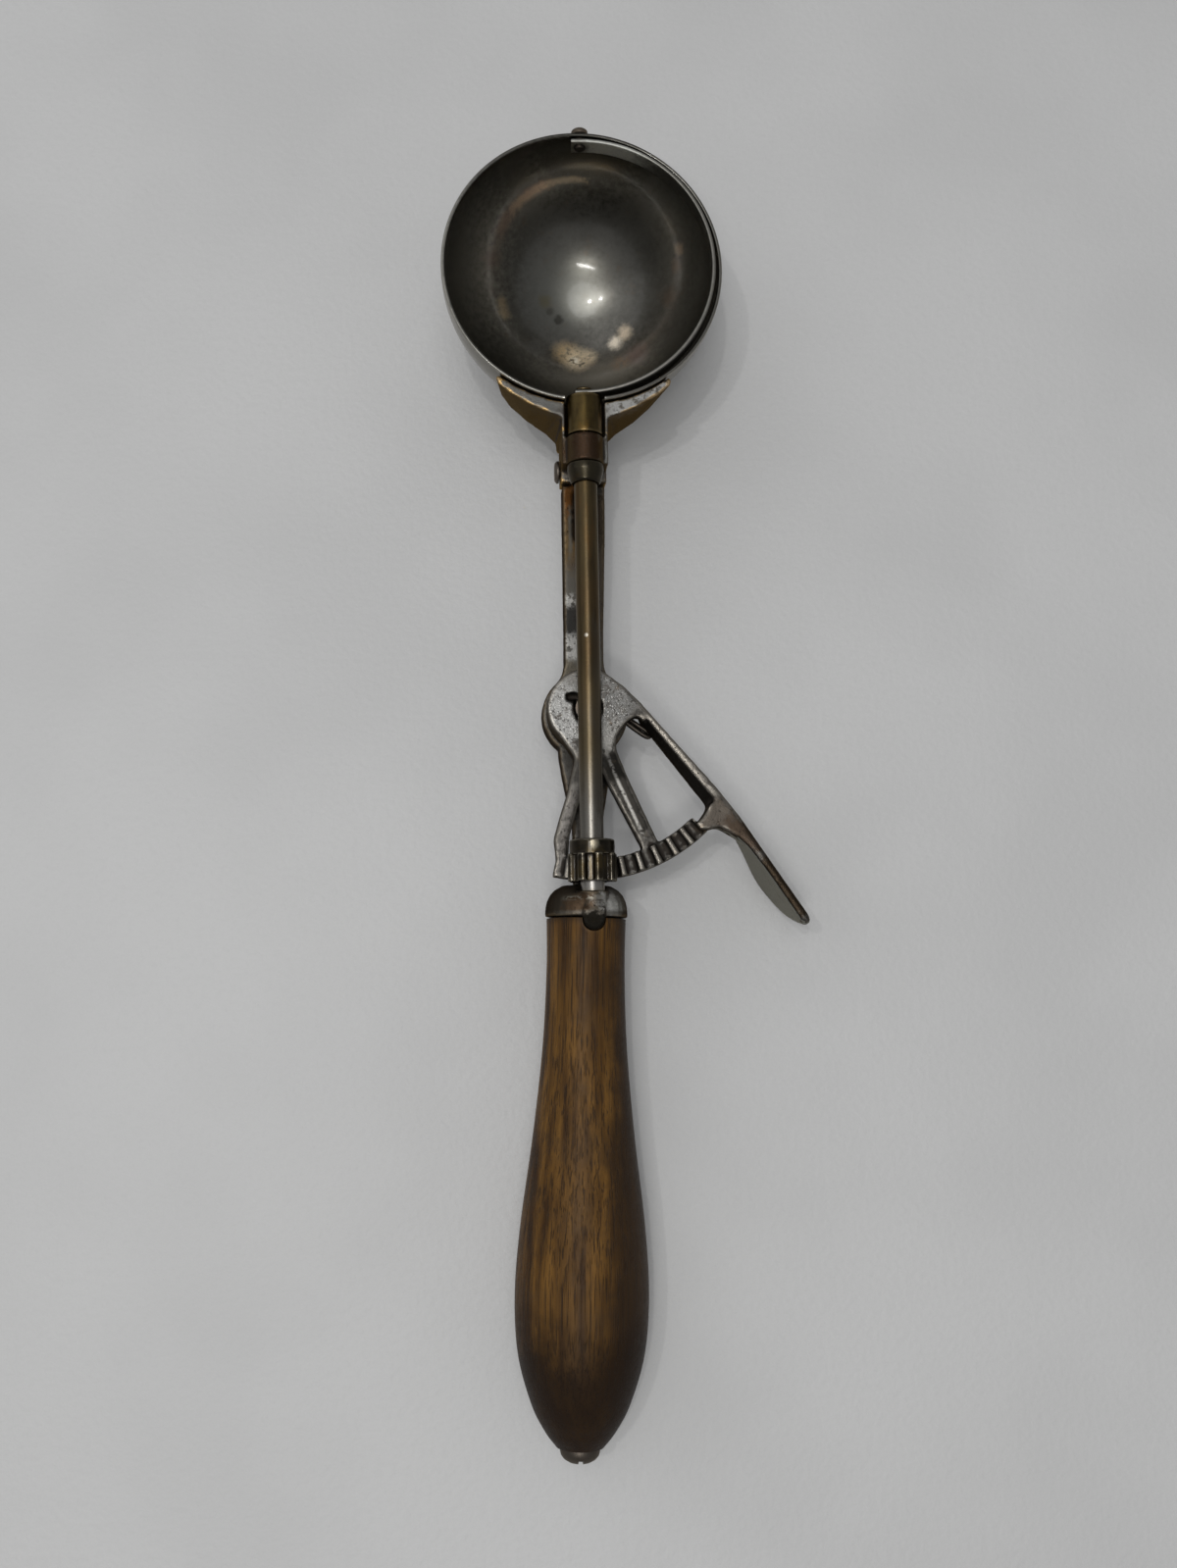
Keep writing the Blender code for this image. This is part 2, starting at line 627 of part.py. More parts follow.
def pinion_outline():
    """Straight-sided teeth. The outline's +Y becomes the tool's -Z, where the sector lies."""
    root = PINION_PITCH_RADIUS - TOOTH_DEPTH
    mesh_turn = MESH_ANGLE * GEAR_RATIO
    outline = []
    for i in range(PINION_TEETH):
        middle = 2 * math.pi * i / PINION_TEETH + mesh_turn
        root_half = PINION_TOOTH_ROOT / 2 / root
        tip_half = PINION_TOOTH_TIP / 2 / PINION_OUTER
        for radius, offset in ((root, -root_half), (PINION_OUTER, -tip_half),
                               (PINION_OUTER, tip_half), (root, root_half)):
            angle = middle + offset
            outline.append((radius * math.sin(angle), radius * math.cos(angle)))
    return outline


def make_pinion(rod_axis):
    """Toothed pinion with a plain collar in front, pinned to the rod."""
    bore = ROD_RADIUS + GAP
    pinion = plate("pinion", [pinion_outline()], PINION_REAR, PINION_FRONT, rod_axis,
                   rotation=ALONG_ROD)
    collar = cylinder("pinion_collar", PINION_COLLAR_RADIUS, (0, PINION_FRONT - GAP, 0),
                      (0, PINION_COLLAR_FRONT, 0), rod_axis)
    hole = cylinder("pinion_bore", bore, (0, PINION_REAR - PINION_LENGTH, 0),
                    (0, PINION_COLLAR_FRONT + PINION_LENGTH, 0), rod_axis)
    pin_y = PINION_FRONT + PINION_COLLAR_LENGTH / 2
    reach = 2 * PINION_COLLAR_RADIUS
    pin_hole = cylinder("pinion_pin_hole", PINION_PIN_RADIUS + GAP, (-reach, pin_y, 0),
                        (reach, pin_y, 0), rod_axis, SMALL_STEPS)
    join(pinion, collar)
    cut(pinion, hole, pin_hole)
    return make_part(pinion, "old_brass")


def make_pinion_pin(rod_axis):
    pin_y = PINION_FRONT + PINION_COLLAR_LENGTH / 2
    reach = PINION_COLLAR_RADIUS
    pin = cylinder("pinion_pin", PINION_PIN_RADIUS, (-reach, pin_y, 0), (reach, pin_y, 0),
                   rod_axis, SMALL_STEPS)
    return make_part(pin, "dark_steel")


def yoke_arm_outline(low):
    """Plan of both arms at their top or their foot, from the middle out to the tips and back."""
    inner = BOWL_RADIUS - YOKE_ARM_THICKNESS - YOKE_DEPTH / 2
    seat = BOWL_RADIUS + GAP
    half = [(0, -inner)]
    half += arc(inner, YOKE_ARM_SPREAD / 3, YOKE_ARM_SPREAD * 0.9, 3)
    for share, upper, lower in YOKE_STATIONS:
        angle = share * YOKE_ARM_SPREAD
        radius = seat + (lower if low else upper * YOKE_ARM_THICKNESS)
        half.append((radius * math.sin(angle), -radius * math.cos(angle)))
    mirrored = [(-x, y) for x, y in reversed(half[1:])]
    return half + mirrored


def make_yoke(tool):
    """Casting whose arms are brazed to the bowl and whose block holds the rod's front bearing."""
    arms = loft("yoke_arms", yoke_arm_outline(True), YOKE_TOP_RISE - YOKE_DEPTH,
                yoke_arm_outline(False), YOKE_TOP_RISE, tool)
    reach = BOWL_RADIUS + GAP + YOKE_ARM_THICKNESS
    front = -(BOWL_RADIUS - YOKE_ARM_THICKNESS)
    side = [(front, YOKE_TOP_RISE), (BEARING_FRONT + 2 * GAP, YOKE_TOP_RISE),
            (BEARING_FRONT, BLOCK_SHOULDER), (BEARING_REAR, BLOCK_SHOULDER),
            (BEARING_REAR, -COLLAR_RADIUS - TROUGH_CLEARANCE),
            (BLOCK_REAR, -COLLAR_RADIUS - TROUGH_CLEARANCE), (BLOCK_REAR, -BLOCK_DEPTH),
            (BEARING_FRONT, -BLOCK_DEPTH), (-reach, YOKE_TOP_RISE - 0.95 * YOKE_DEPTH),
            (front, YOKE_TOP_RISE - 0.95 * YOKE_DEPTH)]
    yoke = plate("bowl_yoke", [list(reversed(side))], -BLOCK_HALF_WIDTH, BLOCK_HALF_WIDTH, tool,
                 rotation=ACROSS)
    barrel = cylinder("bearing_barrel", BEARING_RADIUS, (0, BEARING_FRONT, 0),
                      (0, BEARING_REAR, 0), tool)
    join(yoke, arms, barrel)
    bowl_room = sphere("yoke_bowl_room", BOWL_RADIUS + GAP, tool)
    trough = cylinder("sleeve_trough", SLEEVE_RADIUS + TROUGH_CLEARANCE, (0, front / 2, 0),
                      (0, BEARING_FRONT, 0), tool)
    clear = SLEEVE_RADIUS + TROUGH_CLEARANCE
    trough_top = box("sleeve_trough_top", (-clear, BEARING_FRONT, 0),
                     (clear, front / 2, 2 * YOKE_TOP_RISE), tool)
    bore = cylinder("bearing_bore", ROD_RADIUS + RUNNING, (0, front, 0), (0, 2 * BLOCK_REAR, 0),
                    tool)
    half = TENON_HALF_WIDTH + GAP
    slot_front = BLOCK_REAR + TENON_LENGTH + GAP
    slot = box("tenon_slot", (-half, 2 * BLOCK_REAR, -TENON_DROP - TENON_HEIGHT - GAP),
               (half, slot_front, -TENON_DROP + GAP), tool)
    cut(yoke, bowl_room, trough, trough_top, bore, slot, cross_hole("yoke_cross_hole", tool))
    return make_part(yoke, "cast_nickel")


def cross_place():
    """Where the cross screw passes, as (y, z)."""
    return BLOCK_REAR + TENON_LENGTH / 2, -TENON_DROP - TENON_HEIGHT / 2


def cross_hole(name, tool):
    y, z = cross_place()
    reach = 2 * BLOCK_HALF_WIDTH
    return cylinder(name, CROSS_SCREW_RADIUS + GAP, (-reach, y, z), (reach, y, z), tool,
                    SMALL_STEPS)


def make_cross_screw(tool):
    """Screw across the yoke and the shank's tenon, with a low slotted head on the -X side."""
    y, z = cross_place()
    seat = BLOCK_HALF_WIDTH + GAP
    profile = [(0, seat + CROSS_HEAD_HEIGHT), (0.8 * CROSS_HEAD_RADIUS, seat + CROSS_HEAD_HEIGHT),
               (CROSS_HEAD_RADIUS, seat + CROSS_HEAD_HEIGHT / 2), (CROSS_HEAD_RADIUS, seat),
               (CROSS_SCREW_RADIUS, seat), (CROSS_SCREW_RADIUS, -BLOCK_HALF_WIDTH),
               (0, -BLOCK_HALF_WIDTH)]
    screw = turned("shank_cross_screw", profile, tool, steps=SMALL_STEPS, location=(0, y, z),
                   rotation=(0, -math.pi / 2, 0))
    half_slot = CROSS_HEAD_HEIGHT / 3
    floor = seat + CROSS_HEAD_HEIGHT / 2
    slot = box("cross_screw_slot", (-2 * floor, y - 2 * CROSS_HEAD_RADIUS, z - half_slot),
               (-floor, y + 2 * CROSS_HEAD_RADIUS, z + half_slot), tool)
    cut(screw, slot)
    return make_part(screw, "dark_steel")


def shank_side():
    """Side view of the bar as (y, z): it dips under the lever and rises to the ferrule."""
    neck = BLOCK_REAR - GAP
    boss_front = PIVOT_Y + 0.9 * BOSS_RADIUS
    boss_rear = PIVOT_Y - 0.9 * BOSS_RADIUS
    drop = BOSS_TOP + SHANK_NECK_DROP
    sector_front = PIVOT_Y - SECTOR_INNER + GAP
    under_sector = SECTOR_BOTTOM - GAP
    step = neck - SHANK_STEP
    top = [(neck, -SHANK_NECK_DROP), (step, -SHANK_NECK_DROP)]
    for t in (0.25, 0.5, 0.75):
        y = step * (1 - t) + boss_front * t
        ease = t * t * (3 - 2 * t)
        top.append((y, -SHANK_NECK_DROP + drop * ease))
    top += [(boss_front, BOSS_TOP), (boss_rear, BOSS_TOP)]
    top += [(sector_front, under_sector), (FERRULE_FRONT - FERRULE_LENGTH / 2, under_sector)]
    bottom = []
    for y, z in top:
        thickness = SHANK_THICKNESS if y > boss_rear - GAP else 0.8 * SHANK_THICKNESS
        bottom.append((y, z - thickness))
    return top, list(reversed(bottom))


def shank_plan():
    """Plan of the bar as half widths along its length."""
    neck = BLOCK_REAR + GAP
    boss_front = PIVOT_Y + 0.9 * BOSS_RADIUS
    boss_rear = PIVOT_Y - 0.9 * BOSS_RADIUS
    waist = boss_front + SHANK_FLARE_LENGTH
    flare = boss_rear - SHANK_TAIL_FLARE
    right = [(SHANK_NECK_WIDTH / 2, neck), (SHANK_NECK_WIDTH / 2, neck - SHANK_NECK_LENGTH),
             (SHANK_WAIST_WIDTH / 2, waist + SHANK_WAIST_LENGTH), (SHANK_WAIST_WIDTH / 2, waist),
             (0.49 * BOSS_RADIUS, boss_front + 0.5 * SHANK_FLARE_LENGTH),
             (0.55 * BOSS_RADIUS, boss_front), (0.65 * BOSS_RADIUS, PIVOT_Y + 0.75 * BOSS_RADIUS),
             (0.55 * BOSS_RADIUS, PIVOT_Y),
             (0.62 * BOSS_RADIUS, boss_rear), (0.55 * BOSS_RADIUS, flare),
             (SHANK_TAIL_WIDTH / 2, flare - SHANK_TAIL_TAPER),
             (SHANK_TAIL_WIDTH / 2, FERRULE_FRONT - FERRULE_LENGTH)]
    left = [(-x, y) for x, y in reversed(right)]
    return right + left


def ferrule_profile():
    """Bell-shaped ferrule about the handle's axis, with its rear face at 0."""
    nose = FERRULE_LENGTH
    wall = FERRULE_RADIUS
    shape = ((1.0, 1.0), (0.55, 0.86), (0.28, 0.70), (0.10, 0.5), (0.02, 0.3), (0.0, 0.15))
    profile = [(0, nose)]
    profile += [(wall - share * (wall - FERRULE_NOSE_RADIUS), nose * height)
                for share, height in shape]
    return profile + [(wall, 0), (0, 0)]


def tongue_outline(grow, front):
    """Rounded tongue that reaches from the ferrule over the wood."""
    half = TONGUE_HALF_WIDTH + grow
    centre = FERRULE_REAR - TONGUE_LENGTH + TONGUE_HALF_WIDTH
    tip = arc(half, -math.pi / 2, math.pi / 2, 8, (0, centre))
    return [(-half, front)] + tip + [(half, front)]


def make_shank(tool, handle_line):
    """Cast shank: tenon, dipped channel bar, pivot boss, tail and ferrule in one piece."""
    top, bottom = shank_side()
    shank = plate("shank", [top + bottom], -2 * BOSS_RADIUS, 2 * BOSS_RADIUS, tool,
                  rotation=ACROSS)
    plan = plate("shank_plan", [shank_plan()], -2 * BOSS_RADIUS - BOSS_THICKNESS, BOSS_RADIUS, tool)
    combine(shank, plan, "INTERSECT")
    neck = BLOCK_REAR - GAP
    tenon = box("shank_tenon", (-TENON_HALF_WIDTH, neck - 3 * GAP, -TENON_DROP - TENON_HEIGHT),
                (TENON_HALF_WIDTH, BLOCK_REAR + TENON_LENGTH, -TENON_DROP), tool)
    boss = cylinder("pivot_boss", BOSS_RADIUS, (0, PIVOT_Y, BOSS_BOTTOM - GAP), (0, PIVOT_Y, BOSS_TOP),
                    tool, 40)
    bell = turned("ferrule_bell", ferrule_profile(), handle_line, rotation=ALONG_ROD)
    tongue = plate("ferrule_tongue", [tongue_outline(0, FERRULE_REAR + FERRULE_LENGTH / 4)],
                   TONGUE_TOP - TONGUE_THICKNESS, TONGUE_TOP, tool)
    spine = cylinder("ferrule_spine", TONGUE_TOP, (0, FERRULE_REAR, 0),
                     (0, PINION_REAR - SPINE_SETBACK, 0), tool)
    join(shank, tenon, boss, bell, spine, tongue)
    seat = cylinder("rod_seat", ROD_RADIUS + RUNNING, (0, FERRULE_FRONT - JOURNAL_SEAT - GAP, 0),
                    (0, PINION_REAR, 0), tool)
    journal = cylinder("journal_bore", JOURNAL_RADIUS + RUNNING, (0, ROD_END - GAP, 0),
                       (0, PINION_REAR, 0), tool)
    tang = cylinder("tang_socket", TANG_RADIUS + GAP, (0, -TANG_SOCKET, 0), (0, TANG_SOCKET, 0),
                    handle_line)
    stud = cylinder("boss_stud_hole", STUD_RADIUS + GAP, (0, PIVOT_Y, BOSS_BOTTOM - BOSS_THICKNESS),
                    (0, PIVOT_Y, BOSS_TOP + BOSS_THICKNESS), tool, SMALL_STEPS)
    x, y = spring_anchor()
    anchor = cylinder("spring_anchor_hole", WIRE_RADIUS + GAP, (x, y, BOSS_TOP - SPRING_TAIL - GAP),
                      (x, y, BOSS_TOP + SPRING_TAIL), tool, 12)
    cut(shank, seat, journal, tang, stud, anchor, cross_hole("tenon_cross_hole", tool))
    half = CHANNEL_WIDTH / 2
    floor = -SHANK_NECK_DROP - CHANNEL_DEPTH
    channel_front = neck - CHANNEL_START
    channel = box("shank_channel", (-half, channel_front - CHANNEL_LENGTH, floor),
                  (half, channel_front, 0), tool)
    cut(shank, channel)
    return make_part(shank, "cast_nickel")


def lever_outline():
    """Plan of the lever about its pivot: hub, three arms, sector and the strip over the pad."""
    tip_x, tip_y = PAD_TIP
    along = Vector((math.cos(PAD_ANGLE), -math.sin(PAD_ANGLE)))
    inward = Vector((-math.sin(PAD_ANGLE), -math.cos(PAD_ANGLE)))
    tip = Vector((tip_x, tip_y)) - along * PAD_TIP_ROUNDING
    root = Vector((tip_x, tip_y)) - along * PAD_LENGTH
    strip = [tip + along * 0.7 * PAD_TIP_ROUNDING + inward * 0.5 * PAD_THICKNESS,
             tip + inward * PAD_STRIP * PAD_THICKNESS]
    strip += [root + along * (share * PAD_LENGTH) + inward * (width * PAD_THICKNESS)
              for share, width in ((0.5, PAD_STRIP), (0.25, 1.4), (0.16, 1.8), (0.09, 2.3))]
    hub = [(HUB_RADIUS * math.cos(math.radians(a)), HUB_RADIUS * math.sin(math.radians(a)))
           for a in range(66, 208, 10)]
    corners = [(x, y, 0) for x, y in hub] + list(HUB_WAIST + LEFT_ARM_OUTSIDE)
    sector = arc(SECTOR_RADIUS + SECTOR_BAND / 6, SECTOR_START + 0.02, WEB_ANGLE, ARC_STEPS)
    corners += [(x, y, 0) for x, y in sector]
    corners += list(WEB_CORNERS)
    corners += [(point.x, point.y, 0) for point in reversed(strip)]
    corners += [(tip.x, tip.y, 0), (root.x, root.y, 0)] + list(OUTER_EDGE)
    return rounded(corners)


def lever_windows():
    """The two windows between the arms, as corners about the pivot."""
    half = MIDDLE_ARM_WIDTH / 2
    run = Vector((math.sin(MIDDLE_ARM_ANGLE), -math.cos(MIDDLE_ARM_ANGLE)))
    side = Vector((math.cos(MIDDLE_ARM_ANGLE), math.sin(MIDDLE_ARM_ANGLE)))
    start = Vector(MIDDLE_ARM_START)
    inner = SECTOR_RADIUS - SECTOR_BAND / 6
    foot = start + run * 0.97 * (inner - start.length)
    right_top = start + side * half
    right_foot = foot + side * half
    left_top = start - side * half
    left_foot = foot - side * half
    right_angle = math.atan2(right_foot.x, -right_foot.y)
    left_angle = math.atan2(left_foot.x, -left_foot.y)
    main = [(right_top.x, right_top.y, 0)] + list(MAIN_WINDOW)
    main += [(x, y, 0) for x, y in arc(inner, WEB_ANGLE + 0.05, right_angle + 0.03, 6)]
    main += [(right_foot.x, right_foot.y, 0)]
    shift_x, shift_y, rounding = SMALL_WINDOW_CORNER
    small = [(left_top.x + shift_x, left_top.y + shift_y, rounding), (left_foot.x, left_foot.y, 0)]
    small += [(x, y, 0) for x, y in arc(inner, left_angle - 0.03, math.radians(-8.0), 6)]
    small += list(LEFT_ARM_INSIDE)
    return [rounded(main), rounded(small)]


def arm_slope(lever_axis):
    """Wedge ring that lowers the arms towards the sector, clear of the pinion above."""
    low = -PINION_OUTER - GAP
    top = LEVER_TOP + LEVER_THICKNESS
    near = ARM_STEP_NEAR
    far = ARM_STEP_FAR
    end = SECTOR_OUTER + SECTOR_BAND
    start, stop = math.radians(-30), WEB_ANGLE
    profile = [(near, LEVER_TOP), (far, low), (end, low), (end, top), (near, top)]
    return swept("arm_slope", profile, start, stop, lever_axis)


def outer_arm_slope(lever_axis):
    """Prism that slopes the outer arm down towards the window, inside a narrow ridge."""
    top_x, top_y = OUTER_ARM_START
    turn = Matrix(((-math.sin(OUTER_ARM_ANGLE), 0, math.cos(OUTER_ARM_ANGLE)),
                   (-math.cos(OUTER_ARM_ANGLE), 0, -math.sin(OUTER_ARM_ANGLE)),
                   (0, -1, 0))).to_euler()
    foot = 0.8 * LEVER_THICKNESS
    slope_end = OUTER_ARM_SLOPE * OUTER_ARM_WIDTH
    far = 2 * OUTER_ARM_WIDTH
    outline = [(OUTER_ARM_RIDGE, 0), (slope_end, foot), (far, foot), (far, -foot),
               (OUTER_ARM_RIDGE, -foot)]
    return plate("outer_arm_slope", [outline], 0, OUTER_ARM_LENGTH, lever_axis,
                 (top_x, top_y, LEVER_TOP), turn)


def gullets(lever_axis):
    """Spaces between the sector's face teeth, wider at the top than at the root."""
    shape = bmesh.new()
    pitch = SECTOR_RADIUS * TOOTH_PITCH_ANGLE
    low_half = (pitch - SECTOR_TOOTH_ROOT) / 2
    high_half = (pitch - SECTOR_TOOTH_TIP) / 2
    height = TOOTH_TOP - TOOTH_BOTTOM
    slope = (high_half - low_half) / height
    first = -2
    last = int((WEB_ANGLE - MESH_ANGLE) / TOOTH_PITCH_ANGLE)
    for k in range(first, last + 1):
        angle = MESH_ANGLE + k * TOOTH_PITCH_ANGLE
        turn = Matrix.Rotation(angle, 4, "Z")
        made = bmesh.ops.create_cube(shape, size=1)
        for vert in made["verts"]:
            up = vert.co.z > 0
            z = TOOTH_TOP + 0.2 * height if up else TOOTH_BOTTOM
            half = high_half + 0.2 * slope * height if up else low_half
            side = half if vert.co.x > 0 else -half
            along = SECTOR_OUTER + SECTOR_BAND if vert.co.y < 0 else SECTOR_INNER - SECTOR_BAND / 2
            vert.co = turn @ Vector((side * along / SECTOR_RADIUS, -along, z))
    bmesh.ops.recalc_face_normals(shape, faces=shape.faces)
    mesh = bpy.data.meshes.new("gullets")
    shape.to_mesh(mesh)
    shape.free()
    return add_shape("gullets", mesh, lever_axis)


def make_thumb_pad(lever_axis):
    """Thin pad on edge under the arm's strip: straight along the top, rounded below."""
    lowered = LEVER_THICKNESS / 8
    outline = [(-PAD_LENGTH, -lowered)]
    outline += [((along - 1) * PAD_LENGTH, -depth * PAD_DEPTH)
                for along, depth in smooth_through(PAD_STATIONS, 2)]
    outline.append((-PAD_TIP_ROUNDING, -lowered))
    outline.reverse()
    tip_x, tip_y = PAD_TIP
    turn = Euler((math.pi / 2, 0, -PAD_ANGLE))
    proud = 0.1 * MM
    return plate("thumb_pad", [outline], -proud, PAD_THICKNESS, lever_axis,
                 (tip_x, tip_y, LEVER_TOP), turn)


def make_lever(lever_axis):
    """Cast lever: hub over the spring, two windows, toothed sector, and the thumb pad."""
    lever = plate("lever", [lever_outline()] + lever_windows(), LEVER_BOTTOM, LEVER_TOP, lever_axis)
    cut(lever, arm_slope(lever_axis), outer_arm_slope(lever_axis))
    band_outline = arc(SECTOR_OUTER, SECTOR_START, WEB_ANGLE + 0.02)
    band_outline += list(reversed(arc(SECTOR_INNER, SECTOR_START, WEB_ANGLE + 0.02)))
    band = plate("sector_band", [band_outline], SECTOR_BOTTOM, TOOTH_TOP, lever_axis)
    cut(band, gullets(lever_axis))
    skirt_low = BOSS_TOP + GAP
    skirt = cylinder("hub_skirt", HUB_RADIUS - GAP / 2, (0, 0, skirt_low), (0, 0, HUB_CEILING - GAP),
                     lever_axis, 40)
    window = lever_windows()[0]
    middle = sum((Vector(point) for point in window), Vector((0, 0))) / len(window)
    wider = [tuple(middle + (Vector(point) - middle) * SKIRT_WINDOW_GROWTH) for point in window]
    cut(skirt, plate("skirt_window", [wider], 2 * BOSS_TOP, 0, lever_axis))
    join(lever, band, make_thumb_pad(lever_axis), skirt)
    cavity = cylinder("spring_room", HUB_RADIUS - SKIRT_WALL, (0, 0, skirt_low - GAP),
                      (0, 0, HUB_CEILING), lever_axis, 40)
    side_opening = box("skirt_opening", (STUD_RADIUS, -2 * HUB_RADIUS, skirt_low - GAP),
                       (2 * HUB_RADIUS, 2 * HUB_RADIUS, LEVER_BOTTOM), lever_axis)
    leg_slot = box("leg_slot", (0, COIL_RADIUS - 2.5 * WIRE_RADIUS, LEVER_BOTTOM - GAP),
                   (LEG_LENGTH + GAP, COIL_RADIUS + 2.5 * WIRE_RADIUS, HUB_CEILING), lever_axis,
                   rotation=(0, 0, -LEG_ANGLE))
    stud_hole = cylinder("hub_stud_hole", STUD_RADIUS + RUNNING, (0, 0, 2 * BOSS_BOTTOM), (0, 0, 0),
                         lever_axis)
    recess = cylinder("stud_head_recess", STUD_HEAD_RADIUS + GAP,
                      (0, 0, LEVER_TOP + STUD_PROUD - STUD_HEAD_HEIGHT - GAP), (0, 0, 0), lever_axis)
    (notch_left, notch_low), (notch_right, notch_high) = HUB_NOTCH
    notch = box("hub_notch", (notch_left, notch_low, LEVER_TOP - HUB_NOTCH_DEPTH),
                (notch_right, notch_high, 0), lever_axis)
    cut(lever, cavity, side_opening, leg_slot, stud_hole, recess, notch)
    return make_part(lever, "cast_nickel")


def make_pivot(tool):
    """Stud through the lever's hub and the boss, held by a washer and a nut underneath."""
    top = LEVER_TOP + STUD_PROUD
    washer_top = BOSS_BOTTOM - 2 * GAP
    washer_low = washer_top - PIVOT_WASHER_THICKNESS
    nut_top = washer_low - GAP
    nut_low = nut_top - PIVOT_NUT_THICKNESS
    end = nut_low - GAP
    head_low = top - STUD_HEAD_HEIGHT
    chamfer = STUD_RADIUS / 6
    profile = [(0, top), (STUD_HEAD_RADIUS, top), (STUD_HEAD_RADIUS, head_low),
               (STUD_RADIUS, head_low), (STUD_RADIUS, end + chamfer), (STUD_RADIUS - chamfer, end),
               (0, end)]
    place = (0, PIVOT_Y, 0)
    stud = turned("lever_pivot_stud", profile, tool, steps=SMALL_STEPS, location=place)
    washer = ring("pivot_washer", PIVOT_WASHER_RADIUS, STUD_RADIUS + GAP, washer_low, washer_top,
                  tool, SMALL_STEPS, place)
    nut = cylinder("pivot_nut", PIVOT_NUT_RADIUS, (0, PIVOT_Y, nut_low), (0, PIVOT_Y, nut_top),
                   tool, 6)
    cut(nut, cylinder("pivot_nut_bore", STUD_RADIUS + GAP, (0, PIVOT_Y, 2 * nut_low),
                      (0, PIVOT_Y, BOSS_BOTTOM), tool, SMALL_STEPS))
    make_part(stud, "dark_steel")
    make_part(washer, "dark_steel")
    make_part(nut, "dark_steel")


def coil_start():
    """Angle, from +X towards +Y, of the coil's lower end. It winds clockwise up to the leg."""
    return math.pi / 2 - LEG_ANGLE + 2 * math.pi * COIL_TURNS


def spring_anchor():
    """Where the spring's lower tail enters the boss, in the tool frame."""
    angle = coil_start()
    return COIL_RADIUS * math.cos(angle), PIVOT_Y + COIL_RADIUS * math.sin(angle)


def spring_points():
    """Tail in the boss, the coil, and the leg that leans on the outer arm inside the window."""
    top_z = HUB_CEILING - GAP - WIRE_RADIUS
    low_z = top_z - COIL_PITCH * COIL_TURNS
    start = coil_start()
    count = round(COIL_TURNS * POINTS_PER_TURN)
    x, y = spring_anchor()
    points = [(x, y, BOSS_TOP - SPRING_TAIL), (x, y, BOSS_TOP - SPRING_TAIL / 2), (x, y, low_z - WIRE_RADIUS)]
    for i in range(1, count + 1):
        angle = start - 2 * math.pi * COIL_TURNS * i / count
        z = low_z + (top_z - low_z) * i / count
        points.append((COIL_RADIUS * math.cos(angle), PIVOT_Y + COIL_RADIUS * math.sin(angle), z))
    along = Vector((math.cos(LEG_ANGLE), -math.sin(LEG_ANGLE), 0))
    leave = Vector(points[-1])
    points += [tuple(leave + along * (LEG_LENGTH * share)) for share in (0.3, 0.6, 0.8)]
    points.append(tuple(leave + along * LEG_LENGTH - Vector((0, 0, WIRE_RADIUS))))
    return points


def least_self_gap(points):
    """Smallest free distance between parts of the wire that aren't neighbours along it."""
    spread = 2 * math.pi * COIL_RADIUS / POINTS_PER_TURN
    skip = int(math.ceil(4 * WIRE_RADIUS / spread)) + 2
    least = math.inf
    for i, first in enumerate(points):
        for second in points[i + skip:]:
            least = min(least, (Vector(first) - Vector(second)).length)
    return least - 2 * WIRE_RADIUS


def make_spring(tool):
    points = spring_points()
    print(f"return spring: least gap to itself {least_self_gap(points) / MM:.2f} mm")
    return make_part(tube("return_spring", points, WIRE_RADIUS, tool), "dark_steel")


def handle_radius_profile():
    """Outside of the wood as (radius, height) pairs, front to back."""
    front = -GAP
    stations = [(along * HANDLE_LENGTH, radius * MM) for along, radius in HANDLE_STATIONS]
    return [(radius, front - along) for along, radius in smooth_through(stations)]


def make_handle(tool, handle_line):
    """Turned grip, bored for the tang and notched for the ferrule's tongue."""
    bore = TANG_RADIUS + GAP
    rear = -GAP - HANDLE_LENGTH
    profile = handle_radius_profile() + [(bore, rear), (bore, -GAP)]
    handle = turned("wooden_handle", profile, handle_line, True, rotation=ALONG_ROD)
    notch = plate("tongue_notch", [tongue_outline(GAP, FERRULE_REAR + FERRULE_LENGTH)],
                  TONGUE_TOP - TONGUE_THICKNESS - GAP, 3 * TONGUE_TOP, tool)
    recess = cylinder("end_recess", END_NUT_RADIUS + GAP, (0, rear + END_RECESS, 0),
                      (0, rear - END_RECESS, 0), handle_line)
    cut(handle, notch, recess)
    return make_part(handle, "walnut")


def make_tang(handle_line):
    """Steel tang from the ferrule's socket through the handle into the end nut."""
    rear = -GAP - HANDLE_LENGTH
    start = TANG_SOCKET - GAP
    end = rear + END_RECESS - END_WASHER_THICKNESS - END_NUT_HEIGHT / 2
    tang = cylinder("tang_rod", TANG_RADIUS, (0, end, 0), (0, start, 0), handle_line, 24)
    return make_part(tang, "dark_steel")


